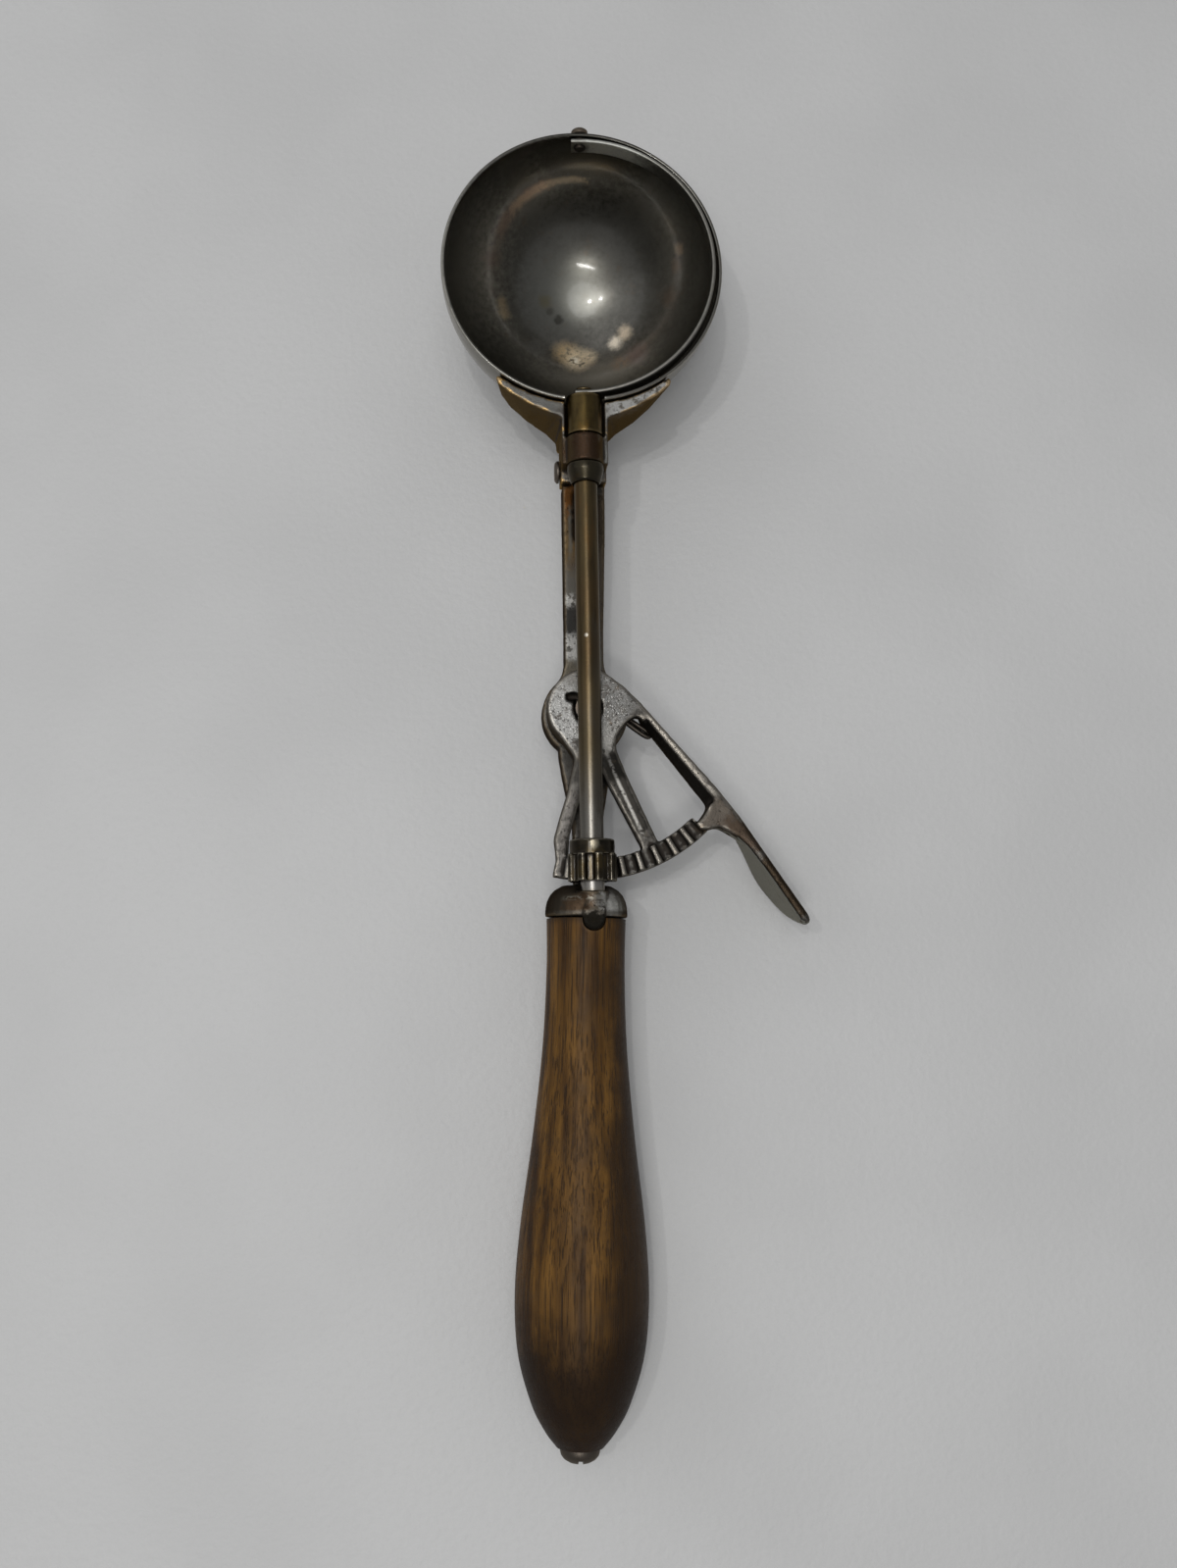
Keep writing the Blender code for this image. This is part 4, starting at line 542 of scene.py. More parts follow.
# Turns the profile line, given as X out from the axis and Z along it, round Z
def latheTree():
    tree, given, step, end = newTree("lathe", Steps=("Int", 96))
    add, _, times, _ = mathOf(tree)
    profile = given["Geometry"]
    size = addNode(tree, "GeometryNodeAttributeDomainSize", {"Geometry": profile}, component="MESH")
    count = size.outputs["Point Count"]
    grid = step("MeshGrid", {"Vertices X": add(given["Steps"], 1), "Vertices Y": count})
    index = step("InputIndex")
    row = sums(tree, "FLOORED_MODULO", index, count)
    column = sums(tree, "FLOOR", sums(tree, "DIVIDE", add(index, 0.5), count))
    onLine = step("SampleIndex", {"Geometry": profile, "Value": step("InputPosition"), "Index": row},
                  data_type="FLOAT_VECTOR", domain="POINT")
    angle = times(sums(tree, "DIVIDE", column, given["Steps"]), 2 * math.pi)
    turned = addNode(tree, "ShaderNodeVectorRotate", {"Vector": onLine, "Axis": (0, 0, 1), "Angle": angle},
                     rotation_type="AXIS_ANGLE").outputs[0]
    shape = step("SetPosition", {"Geometry": grid, "Position": turned})
    return end(step("MergeByDistance", {"Geometry": shape, "Distance": weldReach}))


# A round wire along the line it is given
def wireTree():
    tree, given, step, end = newTree("wire", Radius=("Float", 0.5 * mm), Step=("Float", 0.3 * mm), Sides=("Int", 16))
    line = step("MeshToCurve", {0: given["Geometry"]})
    line = step("CurveSplineType", {"Curve": line}, spline_type="CATMULL_ROM")
    line = step("ResampleCurve", {"Curve": line, "Length": given["Step"]}, mode="LENGTH")
    section = step("CurvePrimitiveCircle", {"Resolution": given["Sides"], "Radius": given["Radius"]})
    return end(step("CurveToMesh", {"Curve": line, "Profile Curve": section, "Fill Caps": True}))


# Sets copies of one tooth round Z and joins them to the hub it is given, in one body
def wheelTree():
    tree, given, step, end = newTree("toothed wheel", Teeth=("Int", 8), Turn=("Float", 0.0), Tooth=("Object", None))
    add, _, times, _ = mathOf(tree)
    spots = step("Points", {"Count": given["Teeth"], "Position": (0, 0, 0)})
    share = sums(tree, "DIVIDE", step("InputIndex"), given["Teeth"])
    angle = add(times(share, 2 * math.pi), given["Turn"])
    turn = addNode(tree, "ShaderNodeCombineXYZ", {"Z": angle}).outputs[0]
    tooth = addNode(tree, "GeometryNodeObjectInfo", {"Object": given["Tooth"]}, transform_space="ORIGINAL")
    teeth = step("InstanceOnPoints", {"Points": spots, "Instance": tooth.outputs["Geometry"], "Rotation": turn})
    teeth = step("RealizeInstances", {"Geometry": teeth})
    union = addNode(tree, "GeometryNodeMeshBoolean", {"Self Intersection": True}, operation="UNION", solver="EXACT")
    for body in (teeth, given["Geometry"]):
        tree.links.new(body, union.inputs["Mesh 2"])
    return end(union.outputs["Mesh"])


trees = {"lathe": latheTree(), "wire": wireTree(), "wheel": wheelTree()}


# Runs a tree on the object and keeps the result as a plain mesh
def grow(obj, treeName, name, **values):
    tree = trees[treeName]
    modifier = obj.modifiers.new(treeName, "NODES")
    modifier.node_group = tree
    for item in tree.interface.items_tree:
        if item.item_type == "SOCKET" and item.in_out == "INPUT" and item.name in values:
            modifier[item.identifier] = values[item.name]
    return settled(obj, name)


# A lathe-turned piece. profile: (radius, along, rounding) in mm; axis: matrix whose Z is the turning axis
def turnedPiece(name, profile, axis, steps, material, closed=False):
    line = roundedLine(profile)
    if closed:
        line.append(line[0])
    obj = polyline(name, [(r * mm, 0, z * mm) for r, z in line])
    obj = grow(obj, "lathe", name, Steps=steps, Finish=material)
    obj.data.transform(axis)
    mend(obj.data)
    obj.data.update()
    return obj


def cutAway(obj, *cutters):
    for cutter in cutters:
        modifier = obj.modifiers.new("cut", "BOOLEAN")
        modifier.operation, modifier.solver, modifier.object = "DIFFERENCE", "EXACT", cutter
    result = settled(obj, obj.name)
    for cutter in cutters:
        bpy.data.objects.remove(cutter)
    return result


def smoothByAngle(obj, degrees):
    shape = bmesh.new()
    shape.from_mesh(obj.data)
    for edge in shape.edges:
        edge.smooth = len(edge.link_faces) < 2 or edge.calc_face_angle(0) < math.radians(degrees)
    for face in shape.faces:
        face.smooth = True
    shape.to_mesh(obj.data)
    shape.free()


cutterSides = 48


# A round cutter from one tool place to another, in mm
def rod(name, radius, start, end):
    a, b = Vector(start), Vector(end)
    way = (b - a).to_track_quat("Z", "Y").to_matrix().to_4x4()
    shape = bmesh.new()
    bmesh.ops.create_cone(shape, cap_ends=True, segments=cutterSides, radius1=radius * mm, radius2=radius * mm,
                          depth=(b - a).length * mm)
    mesh = meshFrom(name, shape)
    mesh.transform(toTool @ Matrix.Translation((a + b) / 2 * mm) @ way)
    return linkNew(name, mesh)


# A box cutter between two tool corners, in mm
def block(name, low, high):
    shape = bmesh.new()
    bmesh.ops.create_cube(shape, size=1)
    for vert in shape.verts:
        vert.co = [mm * (low[i] if vert.co[i] < 0 else high[i]) for i in range(3)]
    mesh = meshFrom(name, shape)
    mesh.transform(toTool)
    return linkNew(name, mesh)


print("tools ready")


# Bowl: spun half sphere with a short upright lip

bowl = {"radius": 30.97, "wall": 0.8, "lip": 2.0, "rimRounding": 0.35, "rings": 60, "steps": 224,
        "notch": 4.35, "notchReach": (-1, 4), "notchTop": 5, "tipHole": 1.45, "tipReach": (28, 33),
        "smooth": 50, "wear": (0.8, 0.06)}
dents = {"depth": 0.05, "sink": 1.6, "across": (0.31, 1.0), "along": (0.27, 0.4), "slant": (0.17, 0.41, 2.0, 0.6)}
arcWay, arcLevel = (0.008, -0.480, 0.877), -23.9              # the plane of the worn arc in the bowl
bowlPatches = [
    # Painted shade on the upper wall by the tip, darkening what it reflects there
    mark((2, 29.5, -4), 14, 7, (0.028, 0.026, 0.02), 0.92),
    mark((-27, 4, -8), 16, 10, (0.3, 0.29, 0.26), 0.85),
    mark((4, -15, -25), 12, 8, (0.24, 0.225, 0.195), 0.75),
    mark((-3, 7, -29), 9, 6, (0.118, 0.12, 0.106), 0.6),
    mark((-4, 26.8, -12.6), 6, 2, (0.3, 0.235, 0.155), 0.75, band=(arcWay, arcLevel, 0.5)),
    mark((-11, 24.4, -13.7), 5.5, 3, (0.44, 0.31, 0.21), 0.7, band=(arcWay, arcLevel, 0.75)),
    mark((-16.8, 19, -16), 4.2, 3, (0.24, 0.165, 0.125), 0.7, band=(arcWay, arcLevel, 1)),
    mark((-19.4, 12, -20), 2.2, 2, (0.19, 0.13, 0.1), 0.6),
    mark((-16.9, 3.2, -24.9), 1.2, 1.2, (0.4, 0.31, 0.19), 0.7, matt=0.15),
    mark((-16.4, 0.8, -25.3), 1.4, 1.3, (0.44, 0.34, 0.21), 0.7, matt=0.2),
    # Worn brass showing through, pushed near white as painted highlight; the whitest small spot is a painted highlight
    mark((-1.6, -7.2, -29.1), 2.8, 1.8, (0.86, 0.62, 0.34), 0.85, speckle=(0.28, 0.6), matt=0.18),
    mark((1, -8.9, -28.8), 3.2, 1.8, (0.98, 0.8, 0.54), 0.95, speckle=(0.3, 0.6), matt=0.36),
    mark((0.4, -9.3, -28.7), 1.1, 0.8, (1, 0.93, 0.78), 0.95, speckle=(0.4, 0.54), matt=0.65),
    mark((3.8, -8.3, -28.8), 1.9, 1.3, (0.9, 0.74, 0.52), 0.9, speckle=(0.3, 0.56), matt=0.3),
    mark((10.1, -4.9, -28), 1.5, 1, (0.95, 0.84, 0.68), 0.95, matt=0.6),
    mark((12.4, -2.6, -27.3), 1.6, 1.3, (0.8, 0.66, 0.48), 0.85, matt=0.4),
    mark((-9, -6.5, -28.1), 2, 1.4, (0.19, 0.185, 0.175), 0.7),
    mark((14.9, -9.3, -24.6), 2.6, 2, (0.21, 0.15, 0.14), 0.7),
    mark((11.2, -10.8, -25.9), 2.2, 1.4, (0.3, 0.22, 0.16), 0.7, speckle=(0.4, 0.56)),
    mark((24, 12.2, -13.8), 1.3, 0.9, (0.32, 0.23, 0.165), 0.8, rough=-0.04),
    mark((23.6, 9.4, -16.4), 1.4, 1.2, (0.24, 0.175, 0.135), 0.7),
    mark((22.3, 3.2, -20.1), 2, 1.6, (0.16, 0.115, 0.085), 0.6),
    mark((-3.2, 1.4, -30), 1.1, 0.5, (0.03, 0.028, 0.022), 0.8),
    mark((-5.2, 3.4, -29.6), 0.9, 0.5, (0.04, 0.037, 0.028), 0.6),
    mark((-6.4, 5.6, -29.1), 1.4, 0.9, (0.11, 0.09, 0.035), 0.5),
]


# Shallow dents that grow towards the bottom
def dented(co):
    local = onTool(co)
    x, y = local[:, 0] / mm, local[:, 1] / mm
    low = np.clip(-local[:, 2] / (bowl["radius"] * mm), 0, 1)
    (waveX, startX), (waveY, startY), (slantX, slantY, start, share) = dents["across"], dents["along"], dents["slant"]
    swell = np.sin(x * waveX + startX) * np.cos(y * waveY + startY)
    swell += share * np.sin(x * slantX - y * slantY + start)
    way = local / np.maximum(np.linalg.norm(local, axis=1), 1e-9)[:, None]
    local += way * ((swell - dents["sink"]) * low ** 2 * dents["depth"] * mm)[:, None]
    return local @ np.array(toolTurn).T + np.array(bowlCentre)


def makeBowl():
    inner, outer, lip, rounding = bowl["radius"] - bowl["wall"], bowl["radius"], bowl["lip"], bowl["rimRounding"]
    angles = quarter(bowl["rings"])
    profile = [(inner * math.sin(a), -inner * math.cos(a), 0) for a in angles]
    profile += [(inner, lip * 0.5, 0), (inner, lip, rounding), (outer, lip, rounding), (outer, lip * 0.5, 0)]
    profile += [(outer * math.sin(a), -outer * math.cos(a), 0) for a in reversed(angles)]
    material = metalFinish("bowlNickel", bowlNickel, bowlPatches)
    obj = turnedPiece("bowlShell", profile, toTool, bowl["steps"], material)
    setCo(obj.data, dented(arrays(obj.data)[0]))
    n, (far, near), (tipIn, tipOut) = bowl["notch"], [-outer + y for y in bowl["notchReach"]], bowl["tipReach"]
    obj = cutAway(obj, rod("notch", n, (0, far, 0), (0, near, 0)),
                  block("notchTop", (-n, far, 0), (n, near, bowl["notchTop"])),
                  rod("tipHole", bowl["tipHole"], (0, tipIn, 0), (0, tipOut, 0)))
    smoothByAngle(obj, bowl["smooth"])
    finishPiece(obj, material, "frame", "bowl", bowl["wear"])


makeBowl()
print("bowl done")


# Tip rivet, whose inner end carries the blade

tipRivet = {"head": 1.85, "height": 1.58, "edge": 0.45, "shaft": 1.15, "seat": 31.3, "innerEnd": 28.0,
            "seatRounding": 0.15, "endRounding": 0.3, "rings": 10, "steps": 48, "wear": (0.4, 0.06)}
rivetPatches = [
    mark((0, 28, 0), 2.2, 0.4, (0.035, 0.03, 0.025), 0.95),
    calm((0, 28, 0), 3, 1.5),
]


def makeTipRivet():
    head, seat, shaft, innerEnd = [tipRivet[key] for key in ("head", "seat", "shaft", "innerEnd")]
    tall, edge = tipRivet["height"], tipRivet["edge"]
    profile = dome(head, seat + edge * tall, (1 - edge) * tall, tipRivet["rings"])
    profile += [(head, seat, tipRivet["seatRounding"]), (shaft, seat, 0)]
    profile += [(shaft, innerEnd, tipRivet["endRounding"]), (0, innerEnd, 0)]
    material = metalFinish("rivetMetal", rivetNickel, rivetPatches)
    obj = turnedPiece("tipRivet", profile, alongRod, tipRivet["steps"], material)
    finishPiece(obj, material, "frame", "tip_pivot_rivet", tipRivet["wear"])


makeTipRivet()


# Scraper: half hoop blade on the rod

blade = {"outer": 29.4, "inner": 28.6, "width": 4.6, "endReach": 1.9, "endSteps": 4, "park": 4.0, "rounding": 0.25,
         "steps": 120, "tipHole": 1.3, "rodHole": 1.7, "holeReach": (27, 31), "brow": 0.5, "browFade": 0.4,
         "smooth": 40}
bladePatches = [
    mark((7, 28.2, 0.5), 8, 5, (0.52, 0.53, 0.5), 0.9, rough=0.15),
    mark((0, 29, 0), 1.9, 0.7, (0.05, 0.045, 0.038), 0.7),
]


# The strip's section: rounded corners, and a row of points near the top and bottom for the worn edge
def bladeSection(thick, half, brow):
    r, section = blade["rounding"], []
    for i, (a, b) in enumerate([(-thick, -half), (thick, -half), (thick, half), (-thick, half)]):
        for k in range(4):
            turn = math.pi * (1 + i / 2 + k / 6)
            section.append((a - math.copysign(r, a) + r * math.cos(turn), b - math.copysign(r, b) + r * math.sin(turn)))
        if i in (1, 3):
            section += [(a, b * brow / half), (a, -b * brow / half)]
    return section


# The section is carried round the half hoop, with a straight end at the tip and the rod
def makeBlade():
    middle, thick = (blade["outer"] + blade["inner"]) / 2, (blade["outer"] - blade["inner"]) / 2
    half = blade["width"] / 2
    brow, ends = half - blade["brow"], blade["endSteps"]
    path = [(-blade["endReach"] * (1 - i / ends), -middle, 0.0, -1.0) for i in range(ends)]
    path += [(middle * math.sin(a), -middle * math.cos(a), math.sin(a), -math.cos(a))
             for a in (math.pi * i / blade["steps"] for i in range(blade["steps"] + 1))]
    path += [(-blade["endReach"] * (i + 1) / ends, middle, 0.0, 1.0) for i in range(ends)]
    section = bladeSection(thick, half, brow)
    mesh = loft("scraperBlade", [[(x + outX * a, y + outY * a, b) for a, b in section] for x, y, outX, outY in path])
    mesh.transform(Matrix.Scale(mm, 4))
    mesh.transform(toTool @ Matrix.Rotation(math.radians(-blade["park"]), 4, "Y"))
    near, far = blade["holeReach"]
    obj = cutAway(linkNew("scraperBlade", mesh), rod("bladeTipHole", blade["tipHole"], (0, near, 0), (0, far, 0)),
                  rod("bladeRodHole", blade["rodHole"], (0, -far, 0), (0, -near, 0)))
    smoothByAngle(obj, blade["smooth"])
    parked = Matrix.Rotation(math.radians(blade["park"]), 3, "Y")
    rise = (onTool(arrays(obj.data)[0]) @ np.array(parked).T)[:, 2] / mm
    setAttributes(obj.data, edge=np.clip((rise - brow) / blade["browFade"], 0, 1), hollow=0 * rise, side=0 * rise)
    finishPiece(obj, metalFinish("bladeNickel", bladeNickel, bladePatches), "scraper", "scraper_blade")


makeBlade()


# Rod, sleeve and collar, all turned

rodSizes = {"radius": 2.5, "stub": 1.4, "headRadius": 2.1, "headSeat": -28.3, "headHeight": 1.0, "shoulder": -29.7,
            "journal": -137.8, "journalRadius": 1.7, "end": -141.4, "headRings": 8, "parts": 40, "steps": 64,
            "wear": (0.5, 0.10)}
sleeve = {"radius": 3.95, "bore": 2.8, "front": -29.7, "rear": -38.4, "parts": 8, "steps": 72, "wear": (0.4, 0.06)}
collar = {"radius": 3.95, "tail": 3.0, "bore": 2.8, "front": -45.0, "band": 1.4, "rear": -49.1, "steps": 72,
          "wear": (0.4, 0.05)}
rodPatches = [
    mark((0.5, -124, 1.5), 8, 6, (0.15, 0.142, 0.128), 0.95),
    mark((1.5, -112, 1.5), 5, 5, (0.13, 0.118, 0.098), 0.8),
    mark((1, -100, 1.8), 4, 4, (0.088, 0.076, 0.06), 0.8),
    mark((0, -137, 1.5), 3.5, 1.5, (0.26, 0.25, 0.235), 0.95),
    mark((1.8, -100, 1), 20, 4, (0.07, 0.062, 0.05), 0.8, band=((1, 0, 0), 1.8, 1.2)),
    mark((-2.4, -96, 0.6), 5, 5, (0.098, 0.07, 0.034), 0.8),
    # A painted glint on the rod's top
    mark((-0.6, -83, 2.3), 0.34, 0.25, (0.85, 0.8, 0.7), 0.9, rough=-0.08),
    mark((-2.4, -107, 0.6), 5, 5, (0.092, 0.07, 0.036), 0.75),
    mark((0.8, -86, 2.2), 4, 3.5, (0.06, 0.04, 0.019), 0.7),
    mark((0.8, -74, 2.2), 4, 4, (0.075, 0.046, 0.02), 0.6),
]


def makeRodPieces():
    r, s, c = rodSizes, sleeve, collar
    rodProfile = dome(r["headRadius"], r["headSeat"], r["headHeight"], r["headRings"])
    rodProfile += [(r["stub"], r["headSeat"], 0), (r["stub"], r["shoulder"], 0), (r["radius"], r["shoulder"], 0.25)]
    rodProfile += between(r["radius"], r["shoulder"], r["journal"], r["parts"])
    rodProfile += [(r["radius"], r["journal"], 0.3), (r["journalRadius"], r["journal"], 0),
                   (r["journalRadius"], r["end"], 0.2), (0, r["end"], 0)]
    sleeveProfile = [(s["bore"], s["front"], 0.1), (s["radius"], s["front"], 0.3)]
    sleeveProfile += between(s["radius"], s["front"], s["rear"], s["parts"])
    sleeveProfile += [(s["radius"], s["rear"], 0.22), (s["bore"], s["rear"], 0.1)]
    collarProfile = [(c["bore"], c["front"], 0.1), (c["radius"], c["front"], 0.2),
                     (c["radius"], c["front"] - c["band"] * 0.5, 0), (c["radius"], c["front"] - c["band"], 0.35),
                     (c["tail"] + 0.3, c["rear"] + 0.3, 0.3), (c["tail"], c["rear"], 0.1), (c["bore"], c["rear"], 0.05)]
    rodMetal = metalFinish("rodBrass", rodBrass, rodPatches, grain=(1.6, 0.22, 1.6))
    sleeveMetal = metalFinish("sleeveBrass", sleeveBrass, grain=(1.0, 0.5, 1.0))
    collarMetal = metalFinish("collarBrass", collarBrass)
    for name, node, profile, material, sizes, closed in (
            ("driveRod", "drive_rod", rodProfile, rodMetal, r, False),
            ("bladeSleeve", "blade_sleeve", sleeveProfile, sleeveMetal, s, True),
            ("rodCollar", "rod_collar", collarProfile, collarMetal, c, True)):
        obj = turnedPiece(name, profile, alongRod, sizes["steps"], material, closed)
        finishPiece(obj, material, "scraper", node, sizes["wear"])


makeRodPieces()
print("scraper, rod, sleeve and collar done")


# Pinion: eight worn teeth behind a plain collar, pinned to the rod

pinion = {"teeth": 8, "root": 4.16, "outer": 5.32, "tipWidth": 1.5, "rootWidth": 2.0, "front": -129.4, "rear": -135.2,
          "toothBelow": 0.5, "tipCurve": ((0.35, -0.1), (0.05, 0.3)), "collar": 4.75, "collarFront": -126.4,
          "collarRounding": 0.5, "collarOverlap": 0.2, "bore": 2.8, "turnDegrees": 11.9, "steps": 64,
          "voxel": 0.13, "passes": 5, "wear": (0.6, 0.12)}
pinionPatches = [
    mark((0.8, -131, 4), 2.2, 1.2, (0.055, 0.039, 0.016), 0.8),
    mark((-1.8, -132.8, 4), 2.2, 1.2, (0.05, 0.036, 0.015), 0.75),
    mark((0.2, -127.6, 4.9), 0.9, 0.4, (0.26, 0.23, 0.17), 0.9),
]


# Half a tooth's outline from below the root to its rounded tip, then its mirror image
def toothOutline():
    root, high, foot, tip = pinion["root"], pinion["outer"], pinion["rootWidth"] / 2, pinion["tipWidth"] / 2
    half = [(root - pinion["toothBelow"], -foot), (root, -foot)]
    half += [(high - down, -tip + inward) for down, inward in pinion["tipCurve"]]
    return half + [(high, 0)] + [(x, -y) for x, y in reversed(half)]


def makePinion():
    p = pinion
    shoulder = p["front"] - p["collarOverlap"]
    profile = [(p["bore"], p["rear"], 0), (p["root"], p["rear"], 0), (p["root"], shoulder, 0),
               (p["collar"], shoulder, 0), (p["collar"], p["collarFront"], p["collarRounding"]),
               (p["bore"], p["collarFront"], 0)]
    material = metalFinish("pinionBrass", pinionBrass, pinionPatches)
    hub = turnedPiece("pinionHub", profile, Matrix(), p["steps"], material, closed=True)
    rows = [[(x * mm, y * mm, z * mm) for x, y in toothOutline()] for z in (p["rear"], p["front"])]
    tooth = linkNew("tooth", loft("tooth", rows, capTurn=-1))
    obj = grow(hub, "wheel", "pinionWheel", Teeth=p["teeth"], Turn=math.radians(p["turnDegrees"]), Tooth=tooth,
               Finish=material)
    bpy.data.objects.remove(tooth)
    obj.data.transform(alongRod)
    obj = remeshed(obj, p["voxel"], p["passes"])
    finishPiece(obj, material, "scraper", "pinion", p["wear"])


makePinion()
print("pinion done")


# Castings: the fixed solids with their edges rubbed round

castings = {
    "yokeCasting": {"node": "bowl_yoke", "body": "frame", "voxel": 0.26, "passes": 6, "stays": None},
    "shankCasting": {"node": "shank", "body": "frame", "voxel": 0.32, "passes": 12, "stays": "ferrule"},
    "leverCasting": {"node": "lever", "body": "lever", "voxel": 0.30, "passes": 28, "stays": "teeth"},
}
castWear = (0.9, 0.14)
yokePatches = [
    mark((13, -31, 1), 8, 2, (0.32, 0.32, 0.31), 0.9, speckle=(0.34, 0.48)),
    mark((-13, -31, 1), 8, 2, (0.12, 0.12, 0.113), 0.9, speckle=(0.34, 0.48)),
    # The right flanks carry painted shade and the left flanks a lighter painted lit side, over their browner colour
    mark((17, -31.5, -10), 10.5, 1.6, (0.052, 0.042, 0.029), 0.9),
    mark((-17, -31.5, -10), 10.5, 1.6, (0.16, 0.138, 0.108), 0.85, speckle=(0.3, 0.52)),
    mark((8, -38.5, -8), 8.5, 1.6, (0.062, 0.048, 0.032), 0.9),
    mark((-8, -38.5, -8), 8.5, 1.6, (0.11, 0.08, 0.045), 0.9),
    mark((-4.8, -42.5, 0), 3.6, 1, (0.046, 0.031, 0.018), 0.95),
    mark((-0.6, -41.7, 3.4), 4.6, 0.8, (0.04, 0.022, 0.012), 0.97),
    mark((5, -42.5, -0.8), 2.6, 0.8, (0.19, 0.19, 0.18), 0.85),
    calm((0, -43, 1), 8.4, 1.2),
    calm((5.2, -34, 0), 3.2, 1.2),
    calm((-5.2, -34, 0), 3.2, 1.2),
]
shankPatches = [
    mark((-4.5, -51, -6.5), 6, 2.4, (0.072, 0.03, 0.008), 0.97),
    mark((-4.5, -60, -7.5), 6, 3, (0.07, 0.044, 0.018), 0.9),
    mark((4.6, -56, -7.5), 8, 2, (0.02, 0.015, 0.01), 0.95),
    mark((4.6, -70, -9), 9, 3, (0.044, 0.036, 0.027), 0.85),
    mark((-2.9, -58, -7), 5, 2, (0.072, 0.068, 0.058), 0.7, band=((1, 0, 0), -3, 0.4)),
    mark((-3.8, -70, -9), 4, 2, (0.068, 0.064, 0.056), 0.8),
    mark((-3.8, -77.3, -11), 4.2, 1.6, (0.022, 0.021, 0.02), 0.95),
    mark((-3, -82.6, -11.5), 3, 0.9, (0.24, 0.236, 0.225), 0.9, speckle=(0.38, 0.48)),
    mark((-3.2, -72.4, -10), 1.8, 0.7, (0.34, 0.335, 0.32), 0.8, speckle=(0.42, 0.52)),
    mark((-4, -89, -11.5), 3.4, 1.2, (0.075, 0.066, 0.05), 0.85),
    mark((-6, -139.5, 0), 5, 2, (0.05, 0.042, 0.032), 0.85),
    mark((1, -138.6, 3.2), 6, 2.2, (0.06, 0.05, 0.038), 0.85),
    mark((-4, -140, 3.5), 3.5, 1.4, (0.085, 0.045, 0.02), 0.5),
    # Painted shadow under the pinion, over some grime
    mark((0, -136.6, 3), 7, 1, (0.024, 0.02, 0.016), 0.8, band=((0, 1, 0), -136.6, 0.9)),
    # Painted highlights: glints along a ring of the ferrule
    mark((0, -138.6, 3), 7, 1, (0.26, 0.24, 0.2), 0.8, band=((0, 1, 0), -138.6, 0.4), speckle=(0.42, 0.54)),
    mark((5.8, -139.5, 0.5), 4.5, 2, (0.62, 0.61, 0.575), 0.95),
    mark((-1, -141.6, 0), 10, 1, (0.13, 0.118, 0.1), 0.8, band=((0, 1, 0), -141.9, 0.6)),
    # Painted highlight: white glints on the ferrule's keel
    mark((-0.8, -139.5, 5), 1.7, 0.8, (0.5, 0.49, 0.46), 0.8, speckle=(0.5, 0.58)),
    # The tongue is painted near black, standing in for the shade in its notch
    mark((0, -144.4, 3.2), 3.2, 0.6, (0.009, 0.008, 0.006), 0.95, rough=0.2),
    calm((0, -144, 3.2), 4.4, 0.8),
]
middleArm, outerArm, leftArm = (0.914, 0.407, 0), (0.777, 0.629, 0), (0.968, -0.25, 0)    # across the lever's arms
